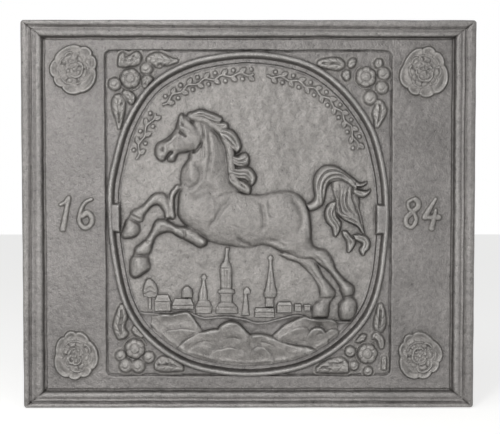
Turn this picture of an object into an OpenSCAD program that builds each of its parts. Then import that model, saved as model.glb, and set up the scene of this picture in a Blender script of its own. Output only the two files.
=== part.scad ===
// Cast-iron fireback: a framed plate with an oval field, a leaping horse over a town, corner
// flowers, rosettes and plain numerals. The pieces are those of the carved pattern that such a
// plate is cast from: boards, mouldings and applied carvings, each seated on the one behind it.
// Millimetres, +Z up, face towards -Y, origin at the middle of the foot.

/* [Plate] */
// Width of the plate
plate_w = 700; // [620:1:820]
// Height of the plate
plate_h = 600; // [540:1:700]
// Thickness of the plain plate behind the relief
plate_t = 12; // [8:0.5:25]

/* [Frame moulding] */
// Height of the moulding along the top and the bottom
rail_w = 29; // [24:1:36]
// Width of the moulding up each side
stile_w = 36; // [28:1:42]
// How far the moulding stands off the plate
frame_rise = 15; // [12:0.5:20]

/* [Boards] */
// Width of the plain board at each side
border_w = 93; // [84:1:115]
// Mean height of the plain strip above and below the panel
strip_h = 19; // [10:1:30]
// Thickness of the side boards and strips
board_rise = 7; // [5.5:0.5:9]
// Thickness of the corner boards round the oval
spandrel_rise = 5; // [3:0.5:6.5]
// How far the panel's middle lies above the plate's middle
panel_lift = 2; // [0:0.5:6]

/* [Oval band] */
// Gap between the oval band and the side boards
oval_gap = 3; // [1.5:0.5:12]
// Distance from the frame moulding to the oval band, above and below
oval_end_gap = 18.5; // [17:0.5:26]
// How much the oval's corner arcs are tighter than half its width
corner_ease = 38; // [32:1:50]
// Width of the band from its outer edge to the field
band_w = 19; // [14:0.5:22]
// How far the band stands off the plate
band_rise = 10; // [8:0.5:14]
// Height of the small block on the inside of each side band
tab_h = 42; // [24:1:60]
// Width of that block
tab_w = 8; // [5:0.5:10]

/* [Rosettes and numerals] */
// Diameter of a rosette
rose_d = 73; // [50:1:78]
// How far a rosette stands off its board
rose_rise = 7; // [4:0.5:9]
// Distance from the moulding to a rosette's centre
rose_inset = 53; // [44:1:72]
// Height of a numeral
numeral_h = 48; // [30:1:60]
// Width of a numeral's stroke
stroke_w = 6.5; // [4:0.5:8]
// How far a numeral stands off its board
numeral_rise = 4; // [2:0.5:6]

/* [Carving] */
// How far the horse stands off the field
horse_rise = 13; // [8:0.5:16]
// How far the corner flowers stand off their boards
flower_rise = 6; // [3:0.5:9]
// How far the leafy bands under the oval's top stand off the field
vine_rise = 3.5; // [2:0.5:6]
// Height of those leafy bands
vine_h = 20; // [12:1:24]
// Distance from the oval band to the leafy bands
vine_gap = 6; // [3:0.5:10]
// Thickness of the ground that the town stands on
ground_rise = 3; // [2:0.5:5]
// How far the hills stand off the ground
hill_rise = 6; // [3:0.5:8]
// How far the town stands off the field
town_rise = 6; // [3:0.5:8]

/* [Hidden] */

iron = "#5b554e";
iron_worn = "#6b645c";
iron_dark = "#4c4741";

$fn = 48;

// Levels along the depth, from the wall side to the face
depth = plate_t + frame_rise;
back_y = depth / 2;
face_y = back_y - plate_t;

// The panel, and the oval over it
panel_half_w = plate_w / 2 - stile_w - border_w;
panel_half_h = plate_h / 2 - rail_w - strip_h;
panel_z = plate_h / 2 + panel_lift;
oval_z = plate_h / 2;
oval_a = panel_half_w - oval_gap;
oval_b = plate_h / 2 - rail_w - oval_end_gap;

// A quarter of the oval is a side arc up to the normal's angle side_turn, a tighter corner arc up
// to end_turn, and an end arc. The arcs meet smoothly, so their radii follow from its half axes
side_turn = 16;
end_turn = 76;
corner_r = oval_a - corner_ease;
half_turn = tan(side_turn / 2);
end_more = (corner_ease - half_turn * (oval_b - corner_r))
    / (cos(end_turn) - half_turn * (1 - sin(end_turn)));
side_more = (oval_b - corner_r - end_more * (1 - sin(end_turn))) / sin(side_turn);
side_r = corner_r + side_more;
end_r = corner_r + end_more;
side_c = side_r - oval_a;
end_c = end_r - oval_b;
corner_x = end_more * cos(end_turn);
corner_z = side_more * sin(side_turn);

// The scene is laid out for this oval, and its points follow the oval's real size
scene_a = 218;
scene_b = 252.5;
scene_z = 300;
kx = oval_a / scene_a;
kz = oval_b / scene_b;
// Corner carvings are laid out for this panel, with their heights up from its middle
panel_a = 221;
panel_b = 252;
cx = panel_half_w / panel_a;
cz = panel_half_h / panel_b;

clear = 0.3;
arc_step = 3;
tall = 40;

// ---- Forms -------------------------------------------------------------------------------

// A rib is [x1, z1, x2, z2, h]: a half-round bar across a carved form, h its share of the rise
function scene(x, z) = [x * kx, oval_z + (z - scene_z) * kz];
function corner(x, z) = [x * cx, panel_z + z * cz];

function scene_rib(r) = concat(scene(r[0], r[1]), scene(r[2], r[3]), [r[4]]);
function corner_rib(r) = concat(corner(r[0], r[1]), corner(r[2], r[3]), [r[4]]);

// A smooth curve through rows of numbers, with k steps between two rows
function between(a, b, c, d, t) =
    0.5 * (2 * b + (c - a) * t + (2 * a - 5 * b + 4 * c - d) * t * t
    + (3 * b - a - 3 * c + d) * t * t * t);
function smooth(rows, k) = let(n = len(rows)) [
    for (i = [0:n - 2], j = [0:k - 1])
        between(rows[max(i - 1, 0)], rows[i], rows[i + 1], rows[min(i + 2, n - 1)], j / k),
    rows[n - 1]
];

// Ribs square to a line of points [x, z, width, h]
function ribs_along(line) = let(n = len(line)) [
    for (i = [0:n - 1])
        let(p = line[i], a = line[max(i - 1, 0)], b = line[min(i + 1, n - 1)],
            d = [b[0] - a[0], b[1] - a[1]], s = p[2] / 2 / norm(d))
        [p[0] - d[1] * s, p[1] + d[0] * s, p[0] + d[1] * s, p[1] - d[0] * s, p[3]]
];

// The points of one rib, standing off the level y by its share of the rise
function rib_points(r, y, rise, sides) = [
    for (i = [0:sides])
        let(t = 180 * i / sides, u = (1 - cos(t)) / 2)
        [r[0] + (r[2] - r[0]) * u, y - max(r[4] * rise, 0.2) * sin(t), r[1] + (r[3] - r[1]) * u]
];

// A rounded form carved through its ribs: one skin over all of them, flat behind
module carved(ribs, y, rise, k = 2, sides = 6) {
    rows = k > 1 ? smooth(ribs, k) : ribs;
    n = len(rows);
    m = sides + 1;
    points = [for (r = rows) each rib_points(r, y, rise, sides)];
    skin = [
        for (i = [0:n - 2], j = [0:sides])
            let(a = i * m + j, b = i * m + (j + 1) % m)
            each j < sides ? [[a, b, b + m], [a, b + m, a + m]] : [[a, b, b + m, a + m]]
    ];
    ends = [[for (j = [sides:-1:0]) j], [for (j = [0:sides]) (n - 1) * m + j]];
    // The ribs may run either way across the form, which turns the skin inside out
    p = rows[0];
    q = rows[1];
    way = [q[0] + q[2] - p[0] - p[2], q[1] + q[3] - p[1] - p[3]];
    faces = concat(skin, ends);
    polyhedron(points, cross(way, [p[2] - p[0], p[3] - p[1]]) > 0
        ? faces : [for (f = faces) [for (j = [len(f) - 1:-1:0]) f[j]]]);
}

// The straight-sided space that a carved form takes up, to cut its neighbours with
module space_of(ribs, y, k = 2) {
    rows = k > 1 ? smooth(ribs, k) : ribs;
    for (i = [0:len(rows) - 2])
        hull()
            for (r = [rows[i], rows[i + 1]], e = [0, 2])
                translate([r[e], y, r[e + 1]])
                    rotate([90, 0, 0])
                        cylinder(h = tall, r = clear / 2, $fn = 6);
}

// A flat outline in x and z, raised towards the face from the level y
module raised(points, y, h) {
    translate([0, y, 0])
        rotate([90, 0, 0])
            linear_extrude(h)
                polygon(points);
}

// A board between two corners
module board(x1, z1, x2, z2, y, h) {
    translate([x1, y - h, z1])
        cube([x2 - x1, h, z2 - z1]);
}

// A low bun on the level y
module bun(p, r, y, h, sides = 8) {
    hull() {
        translate([p[0], y, p[1]])
            rotate([90, 0, 0])
                cylinder(h = h * 0.45, r = r, $fn = sides);
        translate([p[0], y, p[1]])
            rotate([90, 0, 0])
                cylinder(h = h, r = r * 0.55, $fn = sides);
    }
}

// The centre and radius of the oval's arc whose outward normal points along t
function oval_arc(t) =
    let(s = sin(t), c = cos(t))
    abs(s) < sin(side_turn) ? [-sign(c) * side_c, 0, side_r]
        : abs(s) < sin(end_turn) ? [sign(c) * corner_x, sign(s) * corner_z, corner_r]
        : [0, -sign(s) * end_c, end_r];

// The point of the oval whose outward normal points along t, moved inwards
function oval_point(t, inwards) =
    let(arc = oval_arc(t), r = arc[2] - inwards)
    [arc[0] + r * cos(t), oval_z + arc[1] + r * sin(t)];
function oval_outline(inwards) = [
    for (t = [0:arc_step:359.9]) oval_point(t, inwards)
];

// The space inside the oval, moved inwards
module oval_space(inwards) {
    raised(oval_outline(inwards), face_y + 1, tall);
}

// ---- Plate, mouldings and boards ---------------------------------------------------------

module back_plate() {
    color(iron_dark)
        board(-plate_w / 2, 0, plate_w / 2, plate_h, back_y, plate_t);
}

// The moulding's section: an outer round, a groove, and a double bead on the inside
function moulding_section(w) = let(h = frame_rise) [
    [0, 0], [0, h * 0.6], [w * 0.04, h * 0.85], [w * 0.13, h * 0.98], [w * 0.25, h],
    [w * 0.36, h * 0.92], [w * 0.43, h * 0.74], [w * 0.47, h * 0.6], [w * 0.51, h * 0.74],
    [w * 0.57, h * 0.86], [w * 0.63, h * 0.82], [w * 0.68, h * 0.7], [w * 0.73, h * 0.76],
    [w * 0.81, h * 0.72], [w * 0.88, h * 0.56], [w, h * 0.36], [w, 0]
];

// One mitred moulding of width w, lying along X with its outer edge at z = 0, between mouldings
// of width side_w
module moulding(length, w, side_w) {
    intersection() {
        translate([-length / 2, face_y, 0])
            rotate([90, 0, 90])
                linear_extrude(length)
                    polygon([for (p = moulding_section(w)) [-p[1], p[0]]]);
        translate([0, face_y + 1, 0])
            rotate([90, 0, 0])
                linear_extrude(frame_rise + 2)
                    polygon([
                        [-length / 2, 0], [length / 2, 0],
                        [length / 2 - side_w, w], [side_w - length / 2, w]
                    ]);
    }
}

module bottom_rail() {
    color(iron)
        moulding(plate_w, rail_w, stile_w);
}

module top_rail() {
    color(iron)
        translate([0, 0, plate_h])
            mirror([0, 0, 1])
                moulding(plate_w, rail_w, stile_w);
}

module left_stile() {
    color(iron)
        translate([-plate_w / 2, 0, plate_h / 2])
            rotate([0, 90, 0])
                moulding(plate_h, stile_w, rail_w);
}

module right_stile() {
    color(iron)
        translate([plate_w / 2, 0, plate_h / 2])
            rotate([0, -90, 0])
                moulding(plate_h, stile_w, rail_w);
}

module side_board(side) {
    inner = panel_half_w;
    outer = plate_w / 2 - stile_w;
    color(iron)
        board(side < 0 ? -outer : inner, rail_w, side < 0 ? -inner : outer, plate_h - rail_w,
            face_y, board_rise);
}

// The strips are cut away where the oval reaches over them
module strip_top() {
    color(iron)
        difference() {
            board(-panel_half_w, panel_z + panel_half_h, panel_half_w, plate_h - rail_w,
                face_y, board_rise);
            oval_space(-clear);
        }
}

module strip_bottom() {
    color(iron)
        difference() {
            board(-panel_half_w, rail_w, panel_half_w, panel_z - panel_half_h,
                face_y, board_rise);
            oval_space(-clear);
        }
}

// A quarter of the panel, outside the oval
module spandrel(sx, sz) {
    color(iron_dark)
        difference() {
            board(min(0, sx * panel_half_w), min(panel_z, panel_z + sz * panel_half_h),
                max(0, sx * panel_half_w), max(panel_z, panel_z + sz * panel_half_h),
                face_y, spandrel_rise);
            oval_space(-clear);
        }
}

// ---- Oval band ---------------------------------------------------------------------------

// The band's section, inwards from its outer edge: a bead, a cove, and a low lip by the field
function band_section() = let(w = band_w, h = band_rise) [
    [0, 0], [0, h * 0.72], [w * 0.05, h * 0.93], [w * 0.17, h], [w * 0.31, h * 0.93],
    [w * 0.39, h * 0.72], [w * 0.46, h * 0.42], [w * 0.6, h * 0.2], [w * 0.76, h * 0.14],
    [w * 0.86, h * 0.25], [w * 0.95, h * 0.2], [w, h * 0.05], [w, 0]
];

// One length of the band, its section swept along the oval from the normal's angle a to b
module band_length(a, b, step) {
    section = band_section();
    m = len(section);
    steps = round((b - a) / step);
    points = [
        for (i = [0:steps], p = section)
            let(q = oval_point(a + (b - a) * i / steps, p[0]))
            [q[0], face_y - p[1], q[1]]
    ];
    skin = [
        for (i = [0:steps - 1], j = [0:m - 1])
            let(c = i * m + j, d = i * m + (j + 1) % m)
            each [[c, d, d + m], [c, d + m, c + m]]
    ];
    polyhedron(points, concat(skin,
        [[for (j = [m - 1:-1:0]) j], [for (j = [0:m - 1]) steps * m + j]]));
}

// The top or bottom of the band: an end arc between two corner arcs
module band_end(s) {
    start = s > 0 ? 0 : 180;
    color(iron_worn)
        band_length(start + side_turn, start + 180 - side_turn, 4);
}

module band_side(s) {
    middle = s > 0 ? 0 : 180;
    color(iron_worn)
        union() {
            band_length(middle - side_turn, middle + side_turn, 2);
            inner = oval_a - band_w * 0.6;
            board(s > 0 ? inner - tab_w : -inner, oval_z - tab_h / 2,
                s > 0 ? inner : tab_w - inner, oval_z + tab_h / 2, face_y, band_rise * 0.7);
        }
}

// ---- Rosettes and numerals ---------------------------------------------------------------

board_y = face_y - board_rise;
rose_x = panel_half_w + border_w / 2;

// Three rings of petals over a disc, and a button in the middle
module rosette(sx, sz) {
    at = [sx * rose_x, plate_h / 2 + sz * (plate_h / 2 - rail_w - rose_inset)];
    rings = [[9, 0.36, 0.14, 0.45], [7, 0.21, 0.13, 0.72], [5, 0.09, 0.09, 0.9]];
    color(iron)
        union() {
            bun(at, rose_d * 0.4, board_y, rose_rise * 0.3, 18);
            for (g = rings, i = [1:g[0]])
                bun(at + rose_d * g[1] * [cos(360 * i / g[0]), sin(360 * i / g[0])],
                    rose_d * g[2], board_y, rose_rise * g[3]);
            bun(at, rose_d * 0.055, board_y, rose_rise);
        }
}

// A numeral's strokes, in shares of its height, moved to the middle p of the numeral
module numeral(strokes, p) {
    color(iron)
        union()
            for (s = strokes)
                carved(ribs_along([
                    for (q = s) [p[0] + q[0] * numeral_h, p[1] + q[1] * numeral_h, stroke_w, 1]
                ]), board_y, numeral_rise);
}

numeral_z = plate_h / 2 + 3;
numeral_gap = numeral_h * 0.31;

module numeral_one() {
    numeral([[[-0.16, 0.28], [-0.02, 0.36], [0.1, 0.5], [0.04, 0.2], [-0.03, -0.15],
        [-0.1, -0.5]]], [-rose_x - numeral_gap, numeral_z]);
}

module numeral_six() {
    numeral([[[0.2, 0.46], [0, 0.36], [-0.14, 0.12], [-0.2, -0.2], [-0.1, -0.42], [0.06, -0.46],
        [0.2, -0.32], [0.2, -0.12], [0.06, 0.02], [-0.1, -0.08]]],
        [-rose_x + numeral_gap, numeral_z]);
}

module numeral_eight() {
    numeral([[[0.06, 0.46], [-0.12, 0.34], [-0.08, 0.14], [0.08, 0], [0.14, -0.24], [0, -0.45],
        [-0.18, -0.36], [-0.18, -0.16], [0, 0.02], [0.2, 0.2], [0.2, 0.38], [0.06, 0.46]]],
        [rose_x - numeral_gap, numeral_z]);
}

module numeral_four() {
    numeral([[[0.14, 0.48], [-0.04, 0.18], [-0.2, -0.12]], [[-0.24, -0.14], [0, -0.13], [0.24, -0.12]],
        [[0.14, 0.12], [0.08, -0.18], [0.02, -0.48]]], [rose_x + numeral_gap, numeral_z]);
}

// ---- Corner flowers ----------------------------------------------------------------------

spandrel_y = face_y - spandrel_rise;

// An open blossom [x, z, radius]: a round of petals with a button
module blossom(flower) {
    p = corner(flower[0], flower[1]);
    r = flower[2];
    petals = 6;
    color(iron_worn)
        union() {
            for (i = [1:petals])
                bun(p + r * 0.56 * [cos(360 * i / petals), sin(360 * i / petals)],
                    r * 0.44, spandrel_y, flower_rise * 0.85);
            bun(p, r * 0.5, spandrel_y, flower_rise * 0.7);
            bun(p, r * 0.26, spandrel_y, flower_rise);
        }
}

// A leaf's rib, which stands higher where the leaf is wider
function leaf_rib(r) =
    corner_rib(concat(r, [min(0.9, 0.2 + norm([r[2] - r[0], r[3] - r[1]]) / 20)]));

// The leaves and buds round one blossom. A leaf is a list of ribs, and a bud is [x, z, radius]
module foliage(leaves, buds, flower) {
    p = corner(flower[0], flower[1]);
    color(iron)
        difference() {
            union() {
                for (l = leaves)
                    carved([for (r = l) leaf_rib(r)], spandrel_y, flower_rise, 1);
                for (b = buds)
                    bun(corner(b[0], b[1]), b[2], spandrel_y, flower_rise * 0.85);
            }
            translate([p[0], face_y, p[1]])
                rotate([90, 0, 0])
                    cylinder(h = tall, r = flower[2] + clear, $fn = 24);
            oval_space(-clear);
        }
}

flower_top_left = [-182, 209, 16];
flower_top_right = [181, 211, 16];
flower_bottom_left = [-177, -210, 16];
flower_bottom_right = [185, -218, 16.5];

module leaves_top_left() {
    foliage([
        [[-201, 228, -200, 244], [-194, 227, -193, 248], [-184, 228, -184, 243], [-173, 229, -172, 249],
            [-165, 233, -164, 243]],
        [[-158, 236, -158, 239], [-150, 232, -149, 245], [-140, 226, -139, 248], [-129, 228, -128, 244],
            [-118, 231, -117, 239], [-108, 234, -107, 237]],
        [[-205, 184, -198, 185], [-209, 176, -191, 176], [-210, 166, -191, 165], [-207, 154, -193, 153],
            [-203, 142, -196, 141], [-201, 130, -199, 130]],
        [[-162, 194, -160, 193], [-163, 201, -154, 200], [-163, 209, -148, 208], [-158, 215, -154, 215]],
        [[-195, 188, -192, 191], [-190, 179, -181, 187], [-183, 171, -175, 179], [-180, 168, -178, 169]]
    ], [[-157, 224, 8.5], [-206, 199, 9]], flower_top_left);
}

module leaves_top_right() {
    foliage([
        [[104, 230, 105, 235], [115, 226, 117, 238], [128, 223, 130, 240], [140, 222, 141, 238],
            [149, 227, 149, 231]],
        [[151, 229, 152, 235], [157, 225, 159, 239], [165, 230, 166, 237]],
        [[143, 213, 144, 218], [150, 206, 149, 221], [157, 210, 156, 220]],
        [[195, 225, 199, 223], [194, 232, 206, 229], [198, 239, 204, 239]],
        [[198, 177, 202, 177], [194, 166, 210, 167], [191, 156, 212, 156], [194, 145, 206, 144],
            [195, 132, 199, 132]]
    ], [[208, 216, 9], [205, 195, 9], [187, 179, 9.5]], flower_top_right);
}

module leaves_bottom_left() {
    foliage([
        [[-198, -139, -195, -140], [-204, -152, -191, -151], [-208, -164, -189, -162],
            [-210, -174, -193, -175], [-207, -186, -188, -186], [-202, -196, -194, -194]],
        [[-147, -240, -147, -232], [-138, -244, -138, -223], [-126, -245, -126, -223],
            [-113, -244, -113, -229], [-101, -243, -101, -237]],
        [[-182, -179, -180, -174], [-176, -188, -170, -178], [-165, -193, -161, -188]]
    ], [[-199, -220, 7.5], [-191, -236, 9.5], [-172, -237, 9.5], [-155, -223, 8.5]], flower_bottom_left);
}

module leaves_bottom_right() {
    foliage([
        [[203, -138, 207, -138], [199, -152, 211, -152], [195, -166, 213, -166], [195, -177, 211, -177],
            [200, -184, 206, -185]],
        [[104, -246, 104, -241], [118, -247, 117, -231], [132, -247, 132, -225], [146, -247, 146, -224],
            [156, -246, 156, -233]],
        [[165, -199, 168, -195], [172, -199, 175, -188], [180, -197, 184, -189]],
        [[191, -195, 191, -189], [197, -194, 200, -184], [202, -203, 210, -196], [205, -211, 209, -211]],
        [[208, -244, 214, -244], [208, -232, 214, -232], [209, -221, 213, -221]]
    ], [[158, -214, 7.5], [186, -245, 6], [164, -236, 6]], flower_bottom_right);
}

// ---- Leafy bands inside the oval's top ----------------------------------------------------

leaf_pitch = 14;
vine_in = band_w + vine_gap + vine_h / 2;

// Lengths of the side, corner and end arcs along the leafy bands' middle line
side_len = (side_r - vine_in) * side_turn * PI / 180;
corner_len = (corner_r - vine_in) * (end_turn - side_turn) * PI / 180;
end_len = (end_r - vine_in) * (90 - end_turn) * PI / 180;
quarter_len = side_len + corner_len + end_len;

// The oval's normal at the distance d along that line from its top, to the left below zero
function vine_turn(d) =
    let(e = abs(d),
        t = e < end_len ? 90 - (90 - end_turn) * e / end_len
            : e < end_len + corner_len
                ? end_turn - (end_turn - side_turn) * (e - end_len) / corner_len
                : side_turn * (quarter_len - e) / side_len)
    d < 0 ? 180 - t : t;

// A waving stem with a leaf on each bend, between two shares of the way from top to side
module vine(from, to) {
    steps = round((to - from) * quarter_len / leaf_pitch) * 2;
    step = (to - from) * quarter_len / steps;
    function along(i, inwards) =
        oval_point(vine_turn(from * quarter_len + i * step), vine_in + inwards);
    function stem(i) = along(i, vine_h * 0.12 * sin(90 * i));
    color(iron_worn)
        union() {
            carved(ribs_along([for (i = [0:steps]) concat(stem(i), [vine_h * 0.17, 0.7])]),
                face_y, vine_rise, 1, 4);
            for (i = [1:2:steps - 1]) {
                out = sin(90 * i);
                a = stem(i);
                b = along(i + 0.9, vine_h * 0.48 * out);
                m = (a + b) / 2;
                carved(ribs_along([
                    concat(a, [vine_h * 0.1, 0.6]), concat(m, [vine_h * 0.36, 1]),
                    concat(b, [vine_h * 0.06, 0.5])
                ]), face_y, vine_rise, 1, 4);
                bun(along(i, -vine_h * 0.34 * out), vine_h * 0.13, face_y, vine_rise * 0.9, 6);
            }
        }
}

// ---- Horse -------------------------------------------------------------------------------

head_ribs = [
    [-99, 456, -70, 424, 0.9], [-109, 448, -73, 411, 1], [-112, 436, -82, 399, 1],
    [-117, 428, -96, 398, 0.92], [-125, 420, -108, 396, 0.82], [-133, 415, -112, 390, 0.78],
    [-140, 412, -118, 386, 0.76], [-144, 405, -126, 385, 0.7], [-144, 394, -137, 385, 0.5]
];
neck_ribs = [
    [-90, 457, -84, 400, 0.9], [-68, 446, -91, 398, 0.95], [-51, 429, -95, 385, 1],
    [-39, 412, -104, 371, 1], [-32, 394, -106, 357, 1], [-28, 375, -106, 344, 1],
    [-26, 356, -108, 329, 1], [-14, 338, -109, 310, 1]
];
trunk_ribs = [
    [-107, 338, -110, 300, 0.6], [-95, 348, -97, 284, 0.95], [-70, 354, -72, 267, 1],
    [-44, 346, -54, 257, 1], [-15, 338, -26, 252, 1], [12, 332, 0, 250, 0.95],
    [37, 336, 22, 254, 1], [60, 338, 50, 246, 1], [78, 331, 76, 240, 1],
    [90, 316, 94, 256, 0.9], [95, 296, 97, 272, 0.5]
];
ear_ribs = [[-106, 459, -105, 457, 0.6], [-108, 453, -98, 449, 1], [-104, 446, -96, 446, 1]];
near_fore_ribs = [
    [-65, 263, -65, 255, 0.5], [-72, 268, -70, 252, 0.9], [-81, 276, -77, 250, 1],
    [-91, 281, -87, 256, 1], [-101, 282, -98, 262, 0.95], [-111, 283, -110, 268, 0.9],
    [-120, 288, -119, 273, 0.88], [-132, 294, -128, 274, 0.88], [-144, 291, -137, 271, 0.85],
    [-151, 276, -145, 265, 0.72], [-158, 265, -149, 256, 0.7], [-168, 256, -151, 248, 0.75],
    [-176, 249, -153, 242, 0.75], [-178, 240, -157, 237, 0.6], [-184, 232, -155, 230, 0.8],
    [-185, 220, -153, 218, 0.85], [-184, 209, -163, 209, 0.8], [-180, 203, -173, 203, 0.5]
];
far_fore_ribs = [
    [-130, 293, -120, 295, 0.6], [-131, 303, -120, 308, 0.65], [-135, 310, -122, 322, 0.7],
    [-140, 315, -128, 332, 0.75], [-145, 316, -139, 336, 0.75], [-151, 313, -150, 331, 0.75],
    [-157, 306, -160, 320, 0.65], [-162, 298, -169, 313, 0.65], [-164, 291, -181, 307, 0.7],
    [-171, 288, -186, 298, 0.55], [-169, 283, -191, 291, 0.75], [-169, 275, -195, 279, 0.8],
    [-174, 268, -199, 269, 0.75], [-184, 264, -195, 263, 0.5]
];
near_hind_ribs = [
    [27, 260, 97, 263, 1], [41, 248, 101, 253, 0.98], [59, 241, 109, 248, 0.95],
    [77, 232, 119, 246, 0.9], [95, 233, 126, 239, 0.85], [105, 227, 131, 229, 0.82],
    [114, 220, 134, 219, 0.78], [123, 212, 139, 211, 0.72], [133, 200, 149, 200, 0.7],
    [139, 191, 160, 192, 0.72], [143, 182, 165, 185, 0.78], [148, 170, 163, 172, 0.6],
    [142, 164, 168, 166, 0.75], [140, 152, 169, 153, 0.8], [141, 142, 166, 142, 0.75],
    [145, 135, 160, 135, 0.5]
];
far_hind_ribs = [
    [44, 240, 58, 242, 0.5], [60, 232, 72, 238, 0.55], [77, 226, 90, 236, 0.6],
    [87, 217, 103, 231, 0.65], [96, 208, 111, 216, 0.62], [104, 197, 118, 203, 0.6],
    [109, 186, 127, 192, 0.62], [110, 175, 136, 179, 0.65], [107, 166, 130, 167, 0.5],
    [101, 161, 127, 162, 0.65], [98, 151, 126, 152, 0.7], [99, 140, 124, 140, 0.6]
];
mane_locks = [
    [[-93, 459, -87, 450, 0.9], [-75, 466, -72, 450, 1], [-58, 460, -60, 446, 1],
        [-47, 455, -50, 444, 0.9], [-42, 447, -44, 444, 0.6]],
    [[-62, 450, -58, 436, 1], [-44, 449, -46, 436, 1], [-35, 444, -38, 436, 0.8],
        [-30, 437, -33, 434, 0.5]],
    [[-56, 440, -44, 420, 1], [-35, 438, -36, 418, 1], [-20, 430, -28, 413, 0.95],
        [-12, 415, -22, 405, 0.8], [-12, 403, -17, 400, 0.5]],
    [[-40, 412, -30, 390, 1], [-22, 403, -22, 384, 1], [-8, 399, -9, 383, 0.9],
        [2, 390, -5, 383, 0.8], [0, 380, -6, 378, 0.5]],
    [[-34, 392, -28, 362, 1], [-15, 381, -15, 360, 1], [0, 376, -4, 359, 0.9],
        [9, 366, 1, 356, 0.8], [10, 354, 4, 349, 0.5]],
    [[-33, 364, -28, 346, 1], [-18, 359, -20, 341, 0.95], [-6, 352, -10, 338, 0.85],
        [3, 346, 1, 338, 0.6]]
];
tail_locks = [
    [[88, 322, 93, 308, 0.9], [97, 321, 106, 312, 0.9], [104, 330, 117, 322, 0.9],
        [102, 343, 119, 338, 0.95], [100, 356, 119, 349, 1], [105, 370, 123, 355, 1],
        [117, 378, 131, 358, 1], [132, 378, 139, 358, 0.95], [147, 371, 147, 355, 0.9],
        [160, 363, 157, 350, 0.85], [172, 353, 168, 343, 0.7], [186, 354, 185, 347, 0.4]],
    [[122, 350, 134, 358, 0.8], [133, 336, 145, 346, 0.85], [131, 324, 144, 326, 0.85],
        [121, 312, 140, 313, 0.8], [118, 300, 138, 301, 0.8], [124, 288, 142, 292, 0.75],
        [131, 280, 146, 284, 0.7], [132, 269, 138, 270, 0.4]],
    [[140, 356, 158, 354, 0.85], [143, 340, 160, 338, 0.85], [141, 320, 160, 320, 0.9],
        [145, 304, 170, 305, 0.9], [146, 292, 180, 296, 0.85], [156, 280, 182, 282, 0.8],
        [166, 270, 186, 266, 0.75], [171, 259, 191, 256, 0.7], [176, 247, 187, 247, 0.6],
        [179, 239, 183, 239, 0.4]],
    [[156, 354, 170, 349, 0.8], [158, 338, 174, 330, 0.8], [158, 320, 175, 316, 0.8],
        [162, 304, 179, 304, 0.75]],
    [[146, 292, 160, 290, 0.75], [146, 277, 160, 280, 0.75], [149, 266, 166, 268, 0.7],
        [153, 256, 168, 258, 0.65], [152, 247, 164, 250, 0.6], [155, 241, 159, 241, 0.4]],
    [[166, 347, 167, 337, 0.75], [174, 344, 172, 332, 0.7], [182, 341, 181, 329, 0.6],
        [190, 344, 188, 337, 0.4]]
];

module inside_oval() {
    oval_space(band_w + clear);
}

module limb(ribs) {
    intersection() {
        carved([for (r = ribs) scene_rib(r)], face_y, horse_rise);
        inside_oval();
    }
}

module room_for(ribs) {
    space_of([for (r = ribs) scene_rib(r)], face_y + 1);
}

module horse_body() {
    color(iron_worn)
        difference() {
            union() {
                limb(trunk_ribs);
                limb(neck_ribs);
                limb(head_ribs);
                limb(ear_ribs);
            }
            room_for(near_fore_ribs);
            room_for(near_hind_ribs);
            for (l = mane_locks)
                room_for(l);
            room_for(tail_locks[0]);
        }
}

module near_foreleg() {
    color(iron_worn)
        limb(near_fore_ribs);
}

module far_foreleg() {
    color(iron_worn)
        difference() {
            limb(far_fore_ribs);
            room_for(near_fore_ribs);
            room_for(trunk_ribs);
        }
}

module near_hind_leg() {
    color(iron_worn)
        limb(near_hind_ribs);
}

module far_hind_leg() {
    color(iron_worn)
        difference() {
            limb(far_hind_ribs);
            room_for(near_hind_ribs);
            room_for(trunk_ribs);
        }
}

module mane() {
    color(iron)
        union()
            for (l = mane_locks)
                limb(l);
}

module tail() {
    color(iron)
        union()
            for (l = tail_locks)
                limb(l);
}

// ---- Ground and hills --------------------------------------------------------------------

ground_line = [
    [-170, 150], [-146, 148], [-120, 147], [-97, 151], [-83, 146], [-68, 141], [-35, 143],
    [-5, 139], [10, 134], [30, 135], [50, 140], [75, 145], [88, 143], [98, 139], [128, 138.5],
    [138, 135], [170, 135]
];
hills_left = [
    [[-150, 141, -146, 128, 0.4], [-135, 143, -128, 113, 0.7], [-115, 146, -112, 108, 0.8],
        [-98, 148, -92, 114, 0.8], [-86, 142, -76, 120, 0.7], [-72, 130, -66, 121, 0.4]]
];
hills_mid = [
    [[-50, 122, -44, 108, 0.5], [-44, 131, -34, 104, 0.9], [-32, 134, -20, 101, 1],
        [-20, 133, -8, 98, 1], [-6, 123, 2, 97, 0.9], [4, 116, 6, 100, 0.5]]
];
hills_right = [
    [[44, 133, 50, 125, 0.3], [64, 141, 66, 131, 0.5], [80, 143, 82, 133, 0.5], [96, 137, 95, 130, 0.4]],
    [[34, 118, 42, 112, 0.3], [50, 124, 56, 104, 0.8], [66, 128, 70, 101, 0.9], [82, 129, 84, 103, 0.8],
        [94, 124, 92, 108, 0.5]]
];
hills_front = [
    [[-104, 104, -98, 94, 0.4], [-88, 110, -82, 91, 0.8], [-70, 115, -66, 89, 0.9],
        [-54, 114, -50, 90, 0.8], [-48, 105, -38, 88, 0.5]],
    [[-62, 86, -56, 76, 0.4], [-44, 85, -42, 71, 0.6], [-26, 94, -26, 70, 0.7], [-8, 91, -8, 70, 0.6]],
    [[-3, 82, 2, 76, 0.4], [4, 93, 10, 72, 0.8], [16, 92, 22, 72, 0.8], [28, 83, 34, 76, 0.4]],
    [[8, 113, 8, 98, 0.5], [26, 112, 20, 95, 0.9], [44, 105, 36, 88, 0.9], [60, 98, 54, 83, 0.8],
        [80, 96, 76, 82, 0.7], [98, 96, 96, 84, 0.5]]
];
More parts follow.
